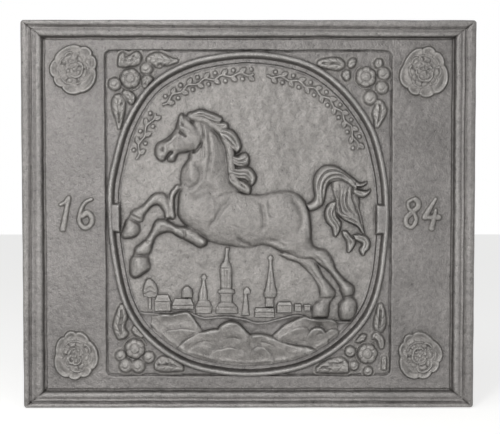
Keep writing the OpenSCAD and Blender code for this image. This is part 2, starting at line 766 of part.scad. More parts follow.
rock_lumps = [
    [[98, 118, 98, 104, 0.5], [103, 126, 104, 100, 0.9], [114, 128, 117, 102, 0.95],
        [127, 122, 128, 109, 0.5]],
    [[100, 137, 101, 131, 0.4], [112, 137, 113, 130, 0.7], [130, 133, 131, 125, 0.7],
        [142, 132, 144, 124, 0.4]]
];

module ground() {
    color(iron_dark)
        intersection() {
            raised(concat([for (p = smooth(ground_line, 3)) scene(p[0], p[1])],
                [scene(170, 40), scene(-170, 40)]), face_y, ground_rise);
            inside_oval();
        }
}

module hills(forms) {
    color(iron)
        intersection() {
            for (f = forms)
                carved([for (r = f) scene_rib(r)], face_y - ground_rise, hill_rise, 3);
            inside_oval();
        }
}

// ---- Town --------------------------------------------------------------------------------

// A building is a stack of level bars [middle x, z, width, h]
module building(bars) {
    color(iron)
        carved([
            for (b = bars)
                scene_rib([b[0] - b[2] / 2, b[1], b[0] + b[2] / 2, b[1], b[3]])
        ], face_y, town_rise, 1);
}

// A house has a flat wall as high as its ridge, and a roof that stands a little prouder
module house(x1, x2, foot, eaves, ridge, hip) {
    a = scene(x1, foot);
    b = scene(x2, eaves);
    t = scene(x2 - hip, ridge);
    roof = [b, t, [a[0] + b[0] - t[0], t[1]], [a[0], b[1]]];
    color(iron)
        union() {
            raised(concat([a, [b[0], a[1]]], roof), face_y, town_rise * 0.6);
            raised(roof, face_y, town_rise * 0.75);
        }
}

module tree() {
    building([[-154, 153, 6, 0.4], [-154, 172, 6, 0.4], [-153, 172.5, 22, 0.7], [-153, 183, 25, 0.9],
        [-153, 191, 21, 0.9], [-154, 198, 13, 0.8], [-155, 202, 4, 0.4]]);
}

module houses() {
    house(-147, -121, 150, 165, 177, 5);
}

module domed_house() {
    house(-120, -85, 153, 159, 171, 5);
    building([[-96, 171.2, 18, 0.8], [-96, 179, 20, 0.9], [-96, 185, 16, 0.9], [-96, 190, 5, 0.5]]);
}

module left_spire() {
    building([[-70, 146, 26, 0.6], [-70, 157, 28, 0.7], [-70, 167, 18, 0.8], [-71, 168, 15, 0.8],
        [-71, 178, 14, 0.8], [-70, 190, 8, 0.7], [-70, 198, 5, 0.6], [-69.5, 199, 8, 0.6],
        [-69.5, 203, 11, 0.7], [-69.5, 208, 5, 0.4]]);
}

module tall_tower() {
    building([[-34, 146, 36, 0.6], [-34, 156, 34, 0.7], [-35, 163, 24, 0.8], [-35, 164, 20, 0.8],
        [-35, 176, 20, 0.8], [-35, 179, 28, 0.95], [-35, 184, 26, 0.95], [-35, 186, 18, 0.9],
        [-35, 218, 20, 1], [-35, 223, 17, 0.9], [-34.5, 229, 9, 0.8], [-34, 240, 6, 0.6],
        [-33, 250, 8, 0.4]]);
}

module small_tower() {
    building([[-5, 143, 14, 0.5], [-5, 163, 9, 0.5], [-5, 176, 6, 0.5], [-3, 177, 13, 0.6],
        [-3, 183, 12, 0.6], [-3, 188, 4, 0.4]]);
}

module right_spire() {
    building([[33, 156.5, 15, 0.7], [33, 171, 15, 0.7], [33.5, 172, 19, 0.85], [34, 178, 22, 0.9],
        [34, 190, 15, 0.85], [34, 205, 10, 0.75], [34, 220, 6, 0.65], [34, 230, 6, 0.6],
        [34, 231, 9, 0.6], [34, 235, 9, 0.6], [34, 238, 4, 0.4]]);
}

module town_wall() {
    house(9, 41, 140, 148, 156, 2);
}

module cottages() {
    house(44, 68, 147, 158, 165, 3);
    house(71, 83, 149, 157, 162, 2);
    house(86, 97, 150, 157, 161, 1);
}

back_plate();
top_rail();
bottom_rail();
left_stile();
right_stile();
side_board(-1);  // border_left
side_board(1);  // border_right
strip_top();
strip_bottom();
spandrel(-1, 1);  // spandrel_top_left
spandrel(1, 1);  // spandrel_top_right
spandrel(-1, -1);  // spandrel_bottom_left
spandrel(1, -1);  // spandrel_bottom_right
band_end(1);  // band_top
band_end(-1);  // band_bottom
band_side(-1);  // band_left
band_side(1);  // band_right
rosette(-1, 1);  // rosette_top_left
rosette(1, 1);  // rosette_top_right
rosette(-1, -1);  // rosette_bottom_left
rosette(1, -1);  // rosette_bottom_right
numeral_one();
numeral_six();
numeral_eight();
numeral_four();
blossom(flower_top_left);  // blossom_top_left
blossom(flower_top_right);  // blossom_top_right
blossom(flower_bottom_left);  // blossom_bottom_left
blossom(flower_bottom_right);  // blossom_bottom_right
leaves_top_left();
leaves_top_right();
leaves_bottom_left();
leaves_bottom_right();
vine(-0.73, -0.5);  // vine_left
vine(-0.44, 0.02);  // vine_middle
vine(0.09, 0.68);  // vine_right
horse_body();
near_foreleg();
far_foreleg();
near_hind_leg();
far_hind_leg();
mane();
tail();
ground();
hills(hills_left);  // hill_left
hills(hills_mid);  // mound
hills(hills_right);  // hill_right
hills(hills_front);  // knolls
hills(rock_lumps);  // rocks
tree();
houses();
domed_house();
left_spire();
tall_tower();
small_tower();
right_spire();
town_wall();
cottages();
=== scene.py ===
import math

import bpy
import numpy as np
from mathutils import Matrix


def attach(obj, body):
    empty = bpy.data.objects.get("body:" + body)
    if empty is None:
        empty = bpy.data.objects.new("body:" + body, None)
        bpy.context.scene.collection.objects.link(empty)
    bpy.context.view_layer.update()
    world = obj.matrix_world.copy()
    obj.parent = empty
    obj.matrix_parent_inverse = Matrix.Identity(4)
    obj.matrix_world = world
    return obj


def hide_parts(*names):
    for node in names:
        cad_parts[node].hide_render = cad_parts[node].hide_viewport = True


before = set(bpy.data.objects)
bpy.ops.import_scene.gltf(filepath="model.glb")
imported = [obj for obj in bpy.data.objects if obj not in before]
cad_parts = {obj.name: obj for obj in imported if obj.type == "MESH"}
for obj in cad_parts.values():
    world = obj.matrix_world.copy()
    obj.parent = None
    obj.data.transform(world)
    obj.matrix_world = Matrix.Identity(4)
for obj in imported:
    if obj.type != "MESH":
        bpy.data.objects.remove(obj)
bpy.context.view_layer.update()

# Lengths are in millimetres until a mesh is made: x across, z up, and heights off the plain plate's face
mm = 0.001
plate = {"halfWidth": 350, "height": 600, "faceY": 1.5, "thickness": 12}
halfHigh = plate["height"] / 2  # which is also the level of the plate's middle
panel = {"halfWidth": 221, "low": 50, "high": 554}
panelMiddle, panelHalf = (panel["low"] + panel["high"]) / 2, (panel["high"] - panel["low"]) / 2
levels = {"board": 7, "spandrel": 5, "ground": 3}
railWide, stileWide = 29, 36

print("stage: camera and studio")

shot = {"place": (-5, -1500, 360), "yaw": 0.27, "pitch": -2.4, "lens": 69.6}
cameraData = bpy.data.cameras.new("camera")
camera = bpy.data.objects.new("camera", cameraData)
bpy.context.scene.collection.objects.link(camera)
camera.location = [v * mm for v in shot["place"]]
camera.rotation_euler = (math.radians(90 + shot["pitch"]), 0, math.radians(-shot["yaw"]))
cameraData.lens = shot["lens"]
bpy.context.scene.camera = camera
bpy.context.scene.view_settings.view_transform = "Standard"


def linearColor(code):
    # sRGB hex to the linear values that a shader wants
    parts = [int(code[i:i + 2], 16) / 255 for i in (1, 3, 5)]
    return [v / 12.92 if v <= 0.04045 else ((v + 0.055) / 1.055) ** 2.4 for v in parts] + [1]


def addNode(tree, kind, settings=None, values=None, links=None):
    node = tree.nodes.new(kind)
    for name, value in (settings or {}).items():
        setattr(node, name, value)
    for name, value in (values or {}).items():
        node.inputs[name].default_value = value
    for name, socket in (links or {}).items():
        tree.links.new(socket, node.inputs[name])
    return node


# White to the camera and in reflections, paper-like to the light, so the floor keeps the shadow
studio = {"paper": "#d9d9d7", "glow": 0.62, "floorSize": 9.0, "worldLight": 0.35}


def paperMaterial():
    material = bpy.data.materials.new("mattStudioPaper")
    material.use_nodes = True
    tree = material.node_tree
    tree.nodes.clear()
    path = addNode(tree, "ShaderNodeLightPath")
    seen = addNode(tree, "ShaderNodeMath", {"operation": "MAXIMUM"},
                   links={0: path.outputs["Is Camera Ray"], 1: path.outputs["Is Glossy Ray"]})
    strength = addNode(tree, "ShaderNodeMath", {"operation": "MULTIPLY"}, {1: studio["glow"]},
                       {0: seen.outputs[0]})
    matt = addNode(tree, "ShaderNodeBsdfDiffuse", values={"Color": linearColor(studio["paper"])})
    glow = addNode(tree, "ShaderNodeEmission", links={"Strength": strength.outputs[0]})
    both = addNode(tree, "ShaderNodeAddShader", links={0: matt.outputs[0], 1: glow.outputs[0]})
    addNode(tree, "ShaderNodeOutputMaterial", links={"Surface": both.outputs[0]})
    return material


def makeFloor():
    half = studio["floorSize"] / 2
    mesh = bpy.data.meshes.new("floor")
    mesh.from_pydata([(-half, -half, 0), (half, -half, 0), (half, half, 0), (-half, half, 0)], [],
                     [(0, 1, 2, 3)])
    mesh.materials.append(paperMaterial())
    floor = bpy.data.objects.new("floor", mesh)
    bpy.context.scene.collection.objects.link(floor)


def makeWorld():
    world = bpy.data.worlds.new("studioWorld")
    bpy.context.scene.world = world
    world.use_nodes = True
    tree = world.node_tree
    tree.nodes.clear()
    path = addNode(tree, "ShaderNodeLightPath")
    cameraOrGloss = addNode(tree, "ShaderNodeMath", {"operation": "MAXIMUM"},
                            links={0: path.outputs["Is Camera Ray"], 1: path.outputs["Is Glossy Ray"]})
    shownRay = addNode(tree, "ShaderNodeMath", {"operation": "MAXIMUM"},
                       links={0: cameraOrGloss.outputs[0], 1: path.outputs["Is Transmission Ray"]})
    light = addNode(tree, "ShaderNodeBackground", values={"Strength": studio["worldLight"]})
    white = addNode(tree, "ShaderNodeBackground", values={"Color": (1, 1, 1, 1), "Strength": 1.0})
    mixed = addNode(tree, "ShaderNodeMixShader",
                    links={0: shownRay.outputs[0], 1: light.outputs[0], 2: white.outputs[0]})
    addNode(tree, "ShaderNodeOutputWorld", links={"Surface": mixed.outputs[0]})


# A broad key light from the upper left, and soft boxes round the plate that light each form's outer slope
lamps = {
    "key": {"place": (-520, -1500, 820), "size": (320, 240), "watts": 9.5},
    "left": {"place": (-1000, -600, 320), "size": (400, 900), "watts": 1.7},
    "right": {"place": (1000, -600, 320), "size": (400, 900), "watts": 0.6},
    "top": {"place": (-100, -600, 1250), "size": (1100, 400), "watts": 2.6},
    "low": {"place": (0, -900, 110), "size": (1100, 140), "watts": 1.9},
}


def makeLamp(name, lamp):
    data = bpy.data.lights.new(name, "AREA")
    data.shape = "RECTANGLE"
    data.size, data.size_y = lamp["size"][0] * mm, lamp["size"][1] * mm
    data.energy = lamp["watts"]
    lampObject = bpy.data.objects.new(name, data)
    bpy.context.scene.collection.objects.link(lampObject)
    lampObject.location = [v * mm for v in lamp["place"]]
    # every lamp is turned to the plate's middle
    away = lampObject.location - type(lampObject.location)((0, 0, halfHigh * mm))
    lampObject.rotation_euler = away.to_track_quat("Z", "Y").to_euler()


makeFloor()
makeWorld()
for lampName, lampValues in lamps.items():
    makeLamp(lampName, lampValues)

print("stage: iron")

# Grey cast iron from an open sand mould, rubbed with graphite polish. The sand leaves a fine grain, the
# graphite a soft dark sheen that stays black in the hollows and is rubbed through to a paler grey on the
# high edges. The dark colour also paints shade into the hollows and onto steep slopes, and the paler grey
# also paints highlights onto the high edges.
iron = {
    "grain": 2.4,        # mm, moulding sand is 0.2 to 0.5, drawn coarser so that it shows
    "pits": 7.0,         # mm between shallow pits
    "clouds": 90.0,      # mm, patches where the polish was laid on thicker
    "grainDepth": 0.85,  # mm
    "pitDepth": 1.2,     # mm
    "metallic": 0.5,     # iron under graphite and a thin oxide
}
ironNoises = {"grain": (3.0, 0.6), "pits": (4.0, 0.55), "clouds": (5.0, 0.6)}  # detail and roughness
# what each follows, its least and most there, and what they become: shares of the dark polish and painted
# shade colour and of the worn and painted highlight grey, times brighter for the next three, and the
# roughness
ironRanges = {
    "darkPolishAndShade": ("relief", 0.03, 0.7, 0.0, 0.62),
    "proud": ("relief", -0.12, -0.9, 0.0, 0.75),
    "patchy": ("clouds", 0.35, 0.65, 0.86, 1.12),
    "speckle": ("pits", 0.3, 0.7, 0.8, 1.2),
    "glints": ("grain", 0.3, 0.7, 0.84, 1.16),
    "rough": ("pits", 0.3, 0.7, 0.27, 0.47),
}
# each finish: its body colour, a worn grey that also paints highlights on proud edges, and a dark polish
# colour that also paints shade into hollows and onto steep slopes
finishes = {
    "cast_iron_plate": {"body": "#7f7c79", "worn": "#9c9a97", "darkPolishAndShade": "#33302e"},
    "cast_iron_board": {"body": "#726f6d", "worn": "#92908d", "darkPolishAndShade": "#33302e"},
    "cast_iron_moulding": {"body": "#777472", "worn": "#9c9a97", "darkPolishAndShade": "#4b4845"},
    "cast_iron_relief": {"body": "#7d7a77", "worn": "#9f9d9a", "darkPolishAndShade": "#33302e"},
}


def ironMaterial(name, finish):
    material = bpy.data.materials.new("sandCastGraphitedIron_" + name)
    material.use_nodes = True
    tree = material.node_tree
    tree.nodes.clear()
    place = addNode(tree, "ShaderNodeTexCoord").outputs["Object"]
    # the relief attribute is 0 on open faces, up to 1 in the hollows and on steep slopes, where it lays on
    # the dark polish and painted shade, and down to -1 on proud edges, where it lays on worn grey and painted
    # highlights
    sources = {"relief": addNode(tree, "ShaderNodeAttribute", {"attribute_name": "relief"}).outputs["Fac"]}
    for key, (detail, roughness) in ironNoises.items():
        sources[key] = addNode(tree, "ShaderNodeTexNoise", values={
            "Scale": 1 / (iron[key] * mm), "Detail": detail, "Roughness": roughness},
            links={"Vector": place}).outputs[0]
    ranged = {}
    for key, (source, *numbers) in ironRanges.items():
        values = dict(zip(("From Min", "From Max", "To Min", "To Max"), numbers))
        ranged[key] = addNode(tree, "ShaderNodeMapRange", values=values,
                              links={"Value": sources[source]}).outputs[0]
    # painted highlight and rubbed wear: the paler grey laid onto proud edges
    worn = addNode(tree, "ShaderNodeMix", {"data_type": "RGBA"},
                   {6: linearColor(finish["body"]), 7: linearColor(finish["worn"])}, {0: ranged["proud"]})
    # painted shade and dark polish: the dark colour laid into hollows and onto steep slopes
    dark = addNode(tree, "ShaderNodeMix", {"data_type": "RGBA"}, {7: linearColor(finish["darkPolishAndShade"])},
                   {0: ranged["darkPolishAndShade"], 6: worn.outputs[2]})
    color = dark.outputs[2]
    for key in ("patchy", "speckle", "glints"):
        color = addNode(tree, "ShaderNodeVectorMath", {"operation": "SCALE"},
                        links={0: color, "Scale": ranged[key]}).outputs[0]
    coarse = addNode(tree, "ShaderNodeBump", values={"Strength": 1.0, "Distance": iron["pitDepth"] * mm},
                     links={"Height": sources["pits"]})
    fine = addNode(tree, "ShaderNodeBump", values={"Strength": 1.0, "Distance": iron["grainDepth"] * mm},
                   links={"Height": sources["grain"], "Normal": coarse.outputs[0]})
    surface = addNode(tree, "ShaderNodeBsdfPrincipled", values={"Metallic": iron["metallic"]}, links={
        "Base Color": color, "Roughness": ranged["rough"], "Normal": fine.outputs[0]})
    addNode(tree, "ShaderNodeOutputMaterial", links={"Surface": surface.outputs[0]})
    return material


ironMaterials = {name: ironMaterial(name, finish) for name, finish in finishes.items()}


# Every form is carved on a sheet, a grid of heights over a window of the plate's face. Ripples make it
# uneven: how far each is turned and shifted against the last one, and its length as a share.
ripples = {"count": 5, "turn": 2.4, "seedTurn": 1.7, "shift": 1.9, "seedShift": 3.1, "shortest": 0.8,
           "longer": 0.13}


def waves(x, z, length, seed):
    # crossed ripples of about that length, from -1 to 1, the same on every run
    total = 0
    for i in range(ripples["count"]):
        turn = seed * ripples["seedTurn"] + i * ripples["turn"]
        pitch = 2 * math.pi / (length * (ripples["shortest"] + ripples["longer"] * i))
        total = total + np.sin((x * math.cos(turn) + z * math.sin(turn)) * pitch + seed * ripples["seedShift"]
                               + i * ripples["shift"])
    return total / ripples["count"]


# edge is how far in the outer edge strays, edgeReach how far in from it that is felt, and its ripples are
# squeezed, so that they run square to it
handmade = {"waver": 0.7, "waverLength": 85, "edge": 0.7, "edgeLength": 70, "edgeReach": 20, "squeezed": 0.1,
            "cornerRadius": 5}


def settled(x, z):
    # hand-cut lines waver a little, the outer edge only inwards, and the outer corners are rounded
    r, reach, halfWide = handmade["cornerRadius"], handmade["edgeReach"], plate["halfWidth"]
    fromX, fromZ = np.abs(x) - (halfWide - r), np.abs(z - halfHigh) - (halfHigh - r)
    corner = (fromX > 0) & (fromZ > 0)
    shrink = np.where(corner, np.maximum(fromX, fromZ) / np.maximum(np.hypot(fromX, fromZ), 1e-6), 1)
    x = np.where(corner, np.sign(x) * (halfWide - r + fromX * shrink), x)
    z = np.where(corner, halfHigh + np.sign(z - halfHigh) * (halfHigh - r + fromZ * shrink), z)
    edgeX = np.clip((np.abs(x) - (halfWide - reach)) / reach, 0, 1)
    edgeZ = np.clip((np.abs(z - halfHigh) - (halfHigh - reach)) / reach, 0, 1)
    alongX = waves(x * handmade["squeezed"], z, handmade["edgeLength"], 3) * 0.5 + 0.5
    alongZ = waves(x, z * handmade["squeezed"], handmade["edgeLength"], 5) * 0.5 + 0.5
    moveX = handmade["waver"] * waves(x, z, handmade["waverLength"], 1)
    moveZ = handmade["waver"] * waves(x, z, handmade["waverLength"], 2)
    newX = x + moveX * (1 - edgeX) - np.sign(x) * edgeX * handmade["edge"] * alongX
    newZ = z + moveZ * (1 - edgeZ) - np.sign(z - halfHigh) * edgeZ * handmade["edge"] * alongZ
    return newX, newZ


def window(x1, z1, x2, z2, step):
    across, up = int(round((x2 - x1) / step)) + 1, int(round((z2 - z1) / step)) + 1
    x, z = np.meshgrid(x1 + step * np.arange(across), z1 + step * np.arange(up))
    return {"x": x, "z": z, "x1": x1, "z1": z1, "step": step}


def smoothRows(rows, count):
    # a smooth curve through rows of numbers
    rows = np.array(rows, float)
    before, after = np.vstack([rows[:1], rows[:-1]]), np.vstack([rows[1:], rows[-1:]])
    a, b, c, d = before[:-1], rows[:-1], rows[1:], after[1:]
    t = (np.arange(count) / count)[None, :, None]
    a, b, c, d = a[:, None], b[:, None], c[:, None], d[:, None]
    curve = 0.5 * (2 * b + (c - a) * t + (2 * a - 5 * b + 4 * c - d) * t ** 2
                   + (3 * b - a - 3 * c + d) * t ** 3)
    return np.vstack([curve.reshape(-1, rows.shape[1]), rows[-1:]])


def straightRows(rows, count):
    rows = np.array(rows, float)
    t = (np.arange(count) / count)[None, :, None]
    line = rows[:-1, None] * (1 - t) + rows[1:, None] * t
    return np.vstack([line.reshape(-1, rows.shape[1]), rows[-1:]])


outside = -4.0   # mm, the level of what lies off a form, well under its seat
fall = 1.6       # mm down for each mm out from a form's edge
skirtWide = 2.6  # mm, how far out that fall is drawn
# a form is measured at points closer than the sheet's: their gap as a share of its step, how much closer
# still along and across the form, the least share of the rise, and the least weight that makes a height
measured = {"gap": 0.45, "along": 1.3, "across": 1.6, "least": 0.05, "leastWeight": 0.02}


def laid(win, x, z, height):
    # puts a cloud of measured points on the sheet
    up, across = win["x"].shape
    i, j, h = (x.ravel() - win["x1"]) / win["step"], (z.ravel() - win["z1"]) / win["step"], height.ravel()
    keep = (i >= 0) & (i < across - 1.001) & (j >= 0) & (j < up - 1.001)
    i, j, h = i[keep], j[keep], h[keep]
    i0, j0 = i.astype(int), j.astype(int)
    fi, fj = i - i0, j - j0
    total, weight = np.zeros(across * up), np.zeros(across * up)
    for di, dj, share in ((0, 0, (1 - fi) * (1 - fj)), (1, 0, fi * (1 - fj)), (0, 1, (1 - fi) * fj),
                          (1, 1, fi * fj)):
        at = (j0 + dj) * across + i0 + di
        weight += np.bincount(at, share, across * up)
        total += np.bincount(at, share * h, across * up)
    height = np.where(weight > measured["leastWeight"], total / np.maximum(weight, 1e-9), outside)
    return height.reshape(up, across)


def carved(win, ribs, rise, fullness=2.6, ends=4.0, rows=smoothRows):
    # a rounded form through its ribs [x1, z1, x2, z2, share of the rise], with a steep fall all round it
    ribs = np.array(ribs, float)
    fine = measured["gap"] * win["step"]
    jump = max(np.hypot(*(ribs[1:, k:k + 2] - ribs[:-1, k:k + 2]).T).max() for k in (0, 2))
    lines = rows(ribs, max(2, int(jump * measured["along"] / fine) + 1))
    a, b, share = lines[:, :2], lines[:, 2:4], np.maximum(lines[:, 4], measured["least"])
    width = np.hypot(*(b - a).T)
    side = (b - a) / np.maximum(width, 1e-6)[:, None]
    middle = (a + b) / 2
    run = np.concatenate([[0], np.cumsum(np.hypot(*np.diff(middle, axis=0).T))])
    tip = np.sqrt(1 - (1 - np.clip(np.minimum(run, run[-1] - run) / ends, 0, 1)) ** 2)
    count = int(width.max() * measured["across"] / fine) + 6
    u = (1 - np.cos(np.linspace(0, math.pi, count))) / 2
    crown = (1 - np.abs(2 * u - 1) ** fullness) ** 0.5
    skirt = fine * np.arange(1, int(skirtWide / fine) + 1)
    wide = len(skirt)
    uAll = np.concatenate([np.zeros(wide), u, np.ones(wide)])
    off = np.concatenate([-skirt[::-1], np.zeros(count), skirt])
    start, finish = middle[0] - middle[3], middle[-1] - middle[-4]
    start, finish = start / max(np.hypot(*start), 1e-6), finish / max(np.hypot(*finish), 1e-6)
    grown = [np.vstack([p[:1] + start * skirt[::-1, None], p, p[-1:] + finish * skirt[:, None]])
             for p in (a, b)]
    sides = np.vstack([np.repeat(side[:1], wide, 0), side, np.repeat(side[-1:], wide, 0)])
    offEnd = np.concatenate([skirt[::-1], np.zeros(len(lines)), skirt])
    spot = grown[0][:, None] + (grown[1] - grown[0])[:, None] * uAll[None, :, None] \
        + sides[:, None] * off[None, :, None]
    height = -fall * np.hypot(offEnd[:, None], off[None, :])
    height[wide:-wide, wide:-wide] = share[:, None] * rise * crown[None] * tip[:, None]
    return laid(win, spot[..., 0], spot[..., 1], height)


def softened(surface, spread):
    # each height becomes the average of those round it, in bell-shaped shares that end 2.6 spreads out
    reach = max(1, int(math.ceil(2.6 * spread)))
    bell = np.exp(-0.5 * (np.arange(-reach, reach + 1) / spread) ** 2)
    bell /= bell.sum()
    rows, columns = surface.shape
    padded = np.pad(surface, ((reach, reach), (0, 0)), mode="edge")
    surface = sum(k * padded[i:i + rows] for i, k in enumerate(bell))
    padded = np.pad(surface, ((0, 0), (reach, reach)), mode="edge")
    return sum(k * padded[:, i:i + columns] for i, k in enumerate(bell))


def melted(surface, spread, bed=0.3, bedWide=3.2):
    # sand rounds every edge and fills every foot, so a form runs out into its ground
    proud = np.maximum(surface, 0)
    return softened(np.maximum(proud, bed * softened(proud, bedWide * spread)), spread)


def nearLine(win, points, reach):
    # near a smooth line: the part of the sheet, the distance to the line and the share of the way along it
    points = smoothRows(points, 5) if len(points) > 2 else np.array(points, float)
    low, high, step = points.min(0) - reach, points.max(0) + reach, win["step"]
    i1, i2 = int((low[0] - win["x1"]) / step), int((high[0] - win["x1"]) / step) + 2
    j1, j2 = int((low[1] - win["z1"]) / step), int((high[1] - win["z1"]) / step) + 2
    part = (slice(max(j1, 0), max(j2, 0)), slice(max(i1, 0), max(i2, 0)))
    x, z = win["x"][part], win["z"][part]
    best, along, run = np.full(x.shape, 1e9), np.zeros(x.shape), 0.0
    for a, b in zip(points[:-1], points[1:]):
        d = b - a
        size = max(float(np.hypot(*d)), 1e-6)
        t = np.clip(((x - a[0]) * d[0] + (z - a[1]) * d[1]) / size ** 2, 0, 1)
        distance = np.hypot(x - a[0] - t * d[0], z - a[1] - t * d[1])
        nearer = distance < best
        best, along = np.where(nearer, distance, best), np.where(nearer, run + t * size, along)
        run += size
    return part, best, along / run


def scored(win, surface, points, width, depth, blunt=0.2, runOut=0.2):
    # a tooled groove that runs out over a share of its length at its ends, or a thin ridge where the depth is
    # below zero
    part, distance, share = nearLine(win, points, 2.5 * width)
    fade = np.clip(np.minimum(share, 1 - share) / runOut, blunt, 1)
    surface[part] -= depth * fade * np.exp(-(distance / width) ** 2)


def rolled(win, points, width, height, flare=0, fullness=2.4):
    # a rounded bar along a line, which flare makes wider towards its end
    part, distance, share = nearLine(win, points, width / 2 * (1 + flare / 2) + skirtWide)
    half = width / 2 * (1 + flare * (share - 0.5))
    inside = half - distance
    crown = np.sqrt(1 - (1 - np.clip(inside / half, 0, 1)) ** fullness)
    surface = np.full(win["x"].shape, outside)
    surface[part] = np.maximum(np.where(inside > 0, height * crown, fall * inside), outside)
    return surface


def domed(win, spot, radius, height, fullness=2.6):
    distance = np.hypot(win["x"] - spot[0], win["z"] - spot[1])
    crown = (1 - np.clip(distance / radius, 0, 1) ** fullness) ** 0.5
    return np.maximum(np.where(distance < radius, height * crown, fall * (radius - distance)), outside)


def flowing(a, b, reach):
    # two forms that run into each other with no edge between
    overlap = np.clip(reach - np.abs(a - b), 0, None) / reach
    return np.maximum(a, b) + overlap ** 2 * reach / 4


def midrib(ribs):
    # the line along the middle of a form
    return [(r[0] + (r[2] - r[0]) * 0.5, r[1] + (r[3] - r[1]) * 0.5) for r in ribs]


def roomRound(low, high, margin, step):
    # a window on whole millimetres, with a margin round the corners
    return window(math.floor(low[0]) - margin, math.floor(low[1]) - margin, math.ceil(high[0]) + margin,
                  math.ceil(high[1]) + margin, step)


fineStep = 0.5  # mm, for all but the largest forms
everywhere = window(-plate["halfWidth"], 0, plate["halfWidth"], plate["height"], 1)
skyline = np.zeros(everywhere["x"].shape)  # the height of whatever is in front, over the whole plate
castPieces = []
# mm that a relief is let into what carries it, the thinnest sheet, mm2 of the smallest patch that is kept,
# the sharpest smooth edge in degrees, and how the field's ripple fades up a relief, to its least share
casting = {"seat": 2.6, "thinnest": 0.05, "patch": 12, "sharp": 62, "rippleHigh": 9, "rippleLeast": 0.25}


def overlaid(win, surface):
    skip = int(round(1 / win["step"]))
    part = surface[::skip, ::skip]
    i, j = int(win["x1"]) + plate["halfWidth"], int(win["z1"])
    spot = skyline[j:j + part.shape[0], i:i + part.shape[1]]
    np.maximum(spot, part[:spot.shape[0], :spot.shape[1]], out=spot)


def castSheet(node, x, z, top, floor, cells, slotName):
    # a closed solid: a carved face, a seat behind it, and walls round its edge
    used = np.zeros(x.shape, bool)
    for dj in (0, 1):
        for di in (0, 1):
            used[dj:dj + cells.shape[0], di:di + cells.shape[1]] |= cells
    count = int(used.sum())
    number = np.full(x.shape, -1)
    number[used] = np.arange(count)
    atX, atZ = settled(x[used], z[used])
    low = np.broadcast_to(floor, x.shape)[used]
    high = np.maximum(top[used], low + casting["thinnest"])
    points = np.vstack([np.stack([atX, plate["faceY"] - high, atZ], 1),
                        np.stack([atX, plate["faceY"] - low, atZ], 1)]) * mm
    a, b = number[:-1, :-1], number[:-1, 1:]
    d, c = number[1:, :-1], number[1:, 1:]
    faces = [np.stack([a[cells], b[cells], c[cells], d[cells]], 1)]
    faces.append(faces[0][:, ::-1] + count)
    padded = np.pad(cells, 1)
    up, across = cells.shape
    for dj, di, one, two in ((-1, 0, a, b), (0, 1, b, c), (1, 0, c, d), (0, -1, d, a)):
        atEdge = cells & ~padded[1 + dj:1 + dj + up, 1 + di:1 + di + across]
        p, q = one[atEdge], two[atEdge]
        faces.append(np.stack([q, p, p + count, q + count], 1))
    quads = np.vstack(faces)
    # a curved sheet may run the other way round, which turns its faces inside out
    first = points[faces[0][:, :3]]
    if np.cross(first[:, 1] - first[:, 0], first[:, 2] - first[:, 1])[:, 1].sum() > 0:
        quads = quads[:, ::-1]
    mesh = bpy.data.meshes.new(node)
    mesh.vertices.add(len(points))
    mesh.vertices.foreach_set("co", points.astype(np.float32).ravel())
    mesh.loops.add(quads.size)
    mesh.loops.foreach_set("vertex_index", quads.astype(np.int32).ravel())
    mesh.polygons.add(len(quads))
    mesh.polygons.foreach_set("loop_start", np.arange(0, quads.size, 4, dtype=np.int32))
    mesh.polygons.foreach_set("use_smooth", np.ones(len(quads), bool))
    mesh.update(calc_edges=True)
    mesh.validate()
    mesh.set_sharp_from_angle(angle=math.radians(casting["sharp"]))
    mesh.materials.append(ironMaterials[slotName])
    words = node.split("_")
    piece = bpy.data.objects.new(words[0] + "".join(w.capitalize() for w in words[1:]), mesh)
    bpy.context.scene.collection.objects.link(piece)
    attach(piece, "root")
    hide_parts(node)
    castPieces.append(piece)
    return piece


def everyCell(x):
    return np.ones((x.shape[0] - 1, x.shape[1] - 1), bool)


def wholeCells(cells, least=30):
    # no cells that touch only at a corner, and no crumbs
    cells = cells.copy()
    for turn in range(4):
        a, b, c, d = cells[:-1, :-1], cells[:-1, 1:], cells[1:, :-1], cells[1:, 1:]
        cross = (a & d & ~b & ~c) | (b & c & ~a & ~d)
        if not cross.any():
            break
        for part in (a, b, c, d):
            part |= cross
    left = set(zip(*(v.tolist() for v in np.nonzero(cells))))
    while left:
        patch, edge = [], [left.pop()]
        while edge:
            j, i = edge.pop()
            patch.append((j, i))
            for spot in ((j + 1, i), (j - 1, i), (j, i + 1), (j, i - 1)):
                if spot in left:
                    left.remove(spot)
                    edge.append(spot)
        if len(patch) < least:
            for spot in patch:
                cells[spot] = False
    return cells


def castRelief(node, win, surface, level, slotName="cast_iron_relief", only=None):
    # a carved form that stands off the level of what carries it
    high = surface > level + casting["thinnest"]
    cells = high[:-1, :-1] | high[1:, :-1] | high[:-1, 1:] | high[1:, 1:]
    if only is not None:
        cells &= only
    cells = wholeCells(cells, int(casting["patch"] / win["step"] ** 2))
    overlaid(win, np.where(high, surface, 0))
    if level == 0:
        # the field's ripple fades out up the form
        rippled = np.clip(1 - surface / casting["rippleHigh"], casting["rippleLeast"], 1)
        surface = surface + fieldHeight(win["x"], win["z"]) * rippled
    return castSheet(node, win["x"], win["z"], surface, level - casting["seat"], cells, slotName)


print("stage: plate and boards")

# the ripple fades out over fadeX and fadeZ towards the sides, the top and the bottom
field = {"swell": 0.9, "swellLength": 58, "ripple": 1.0, "rippleLength": 21, "dimple": 0.45,
         "dimpleLength": 10, "halfWidth": 300, "fadeX": 40, "halfHeight": 260, "fadeZ": 10}
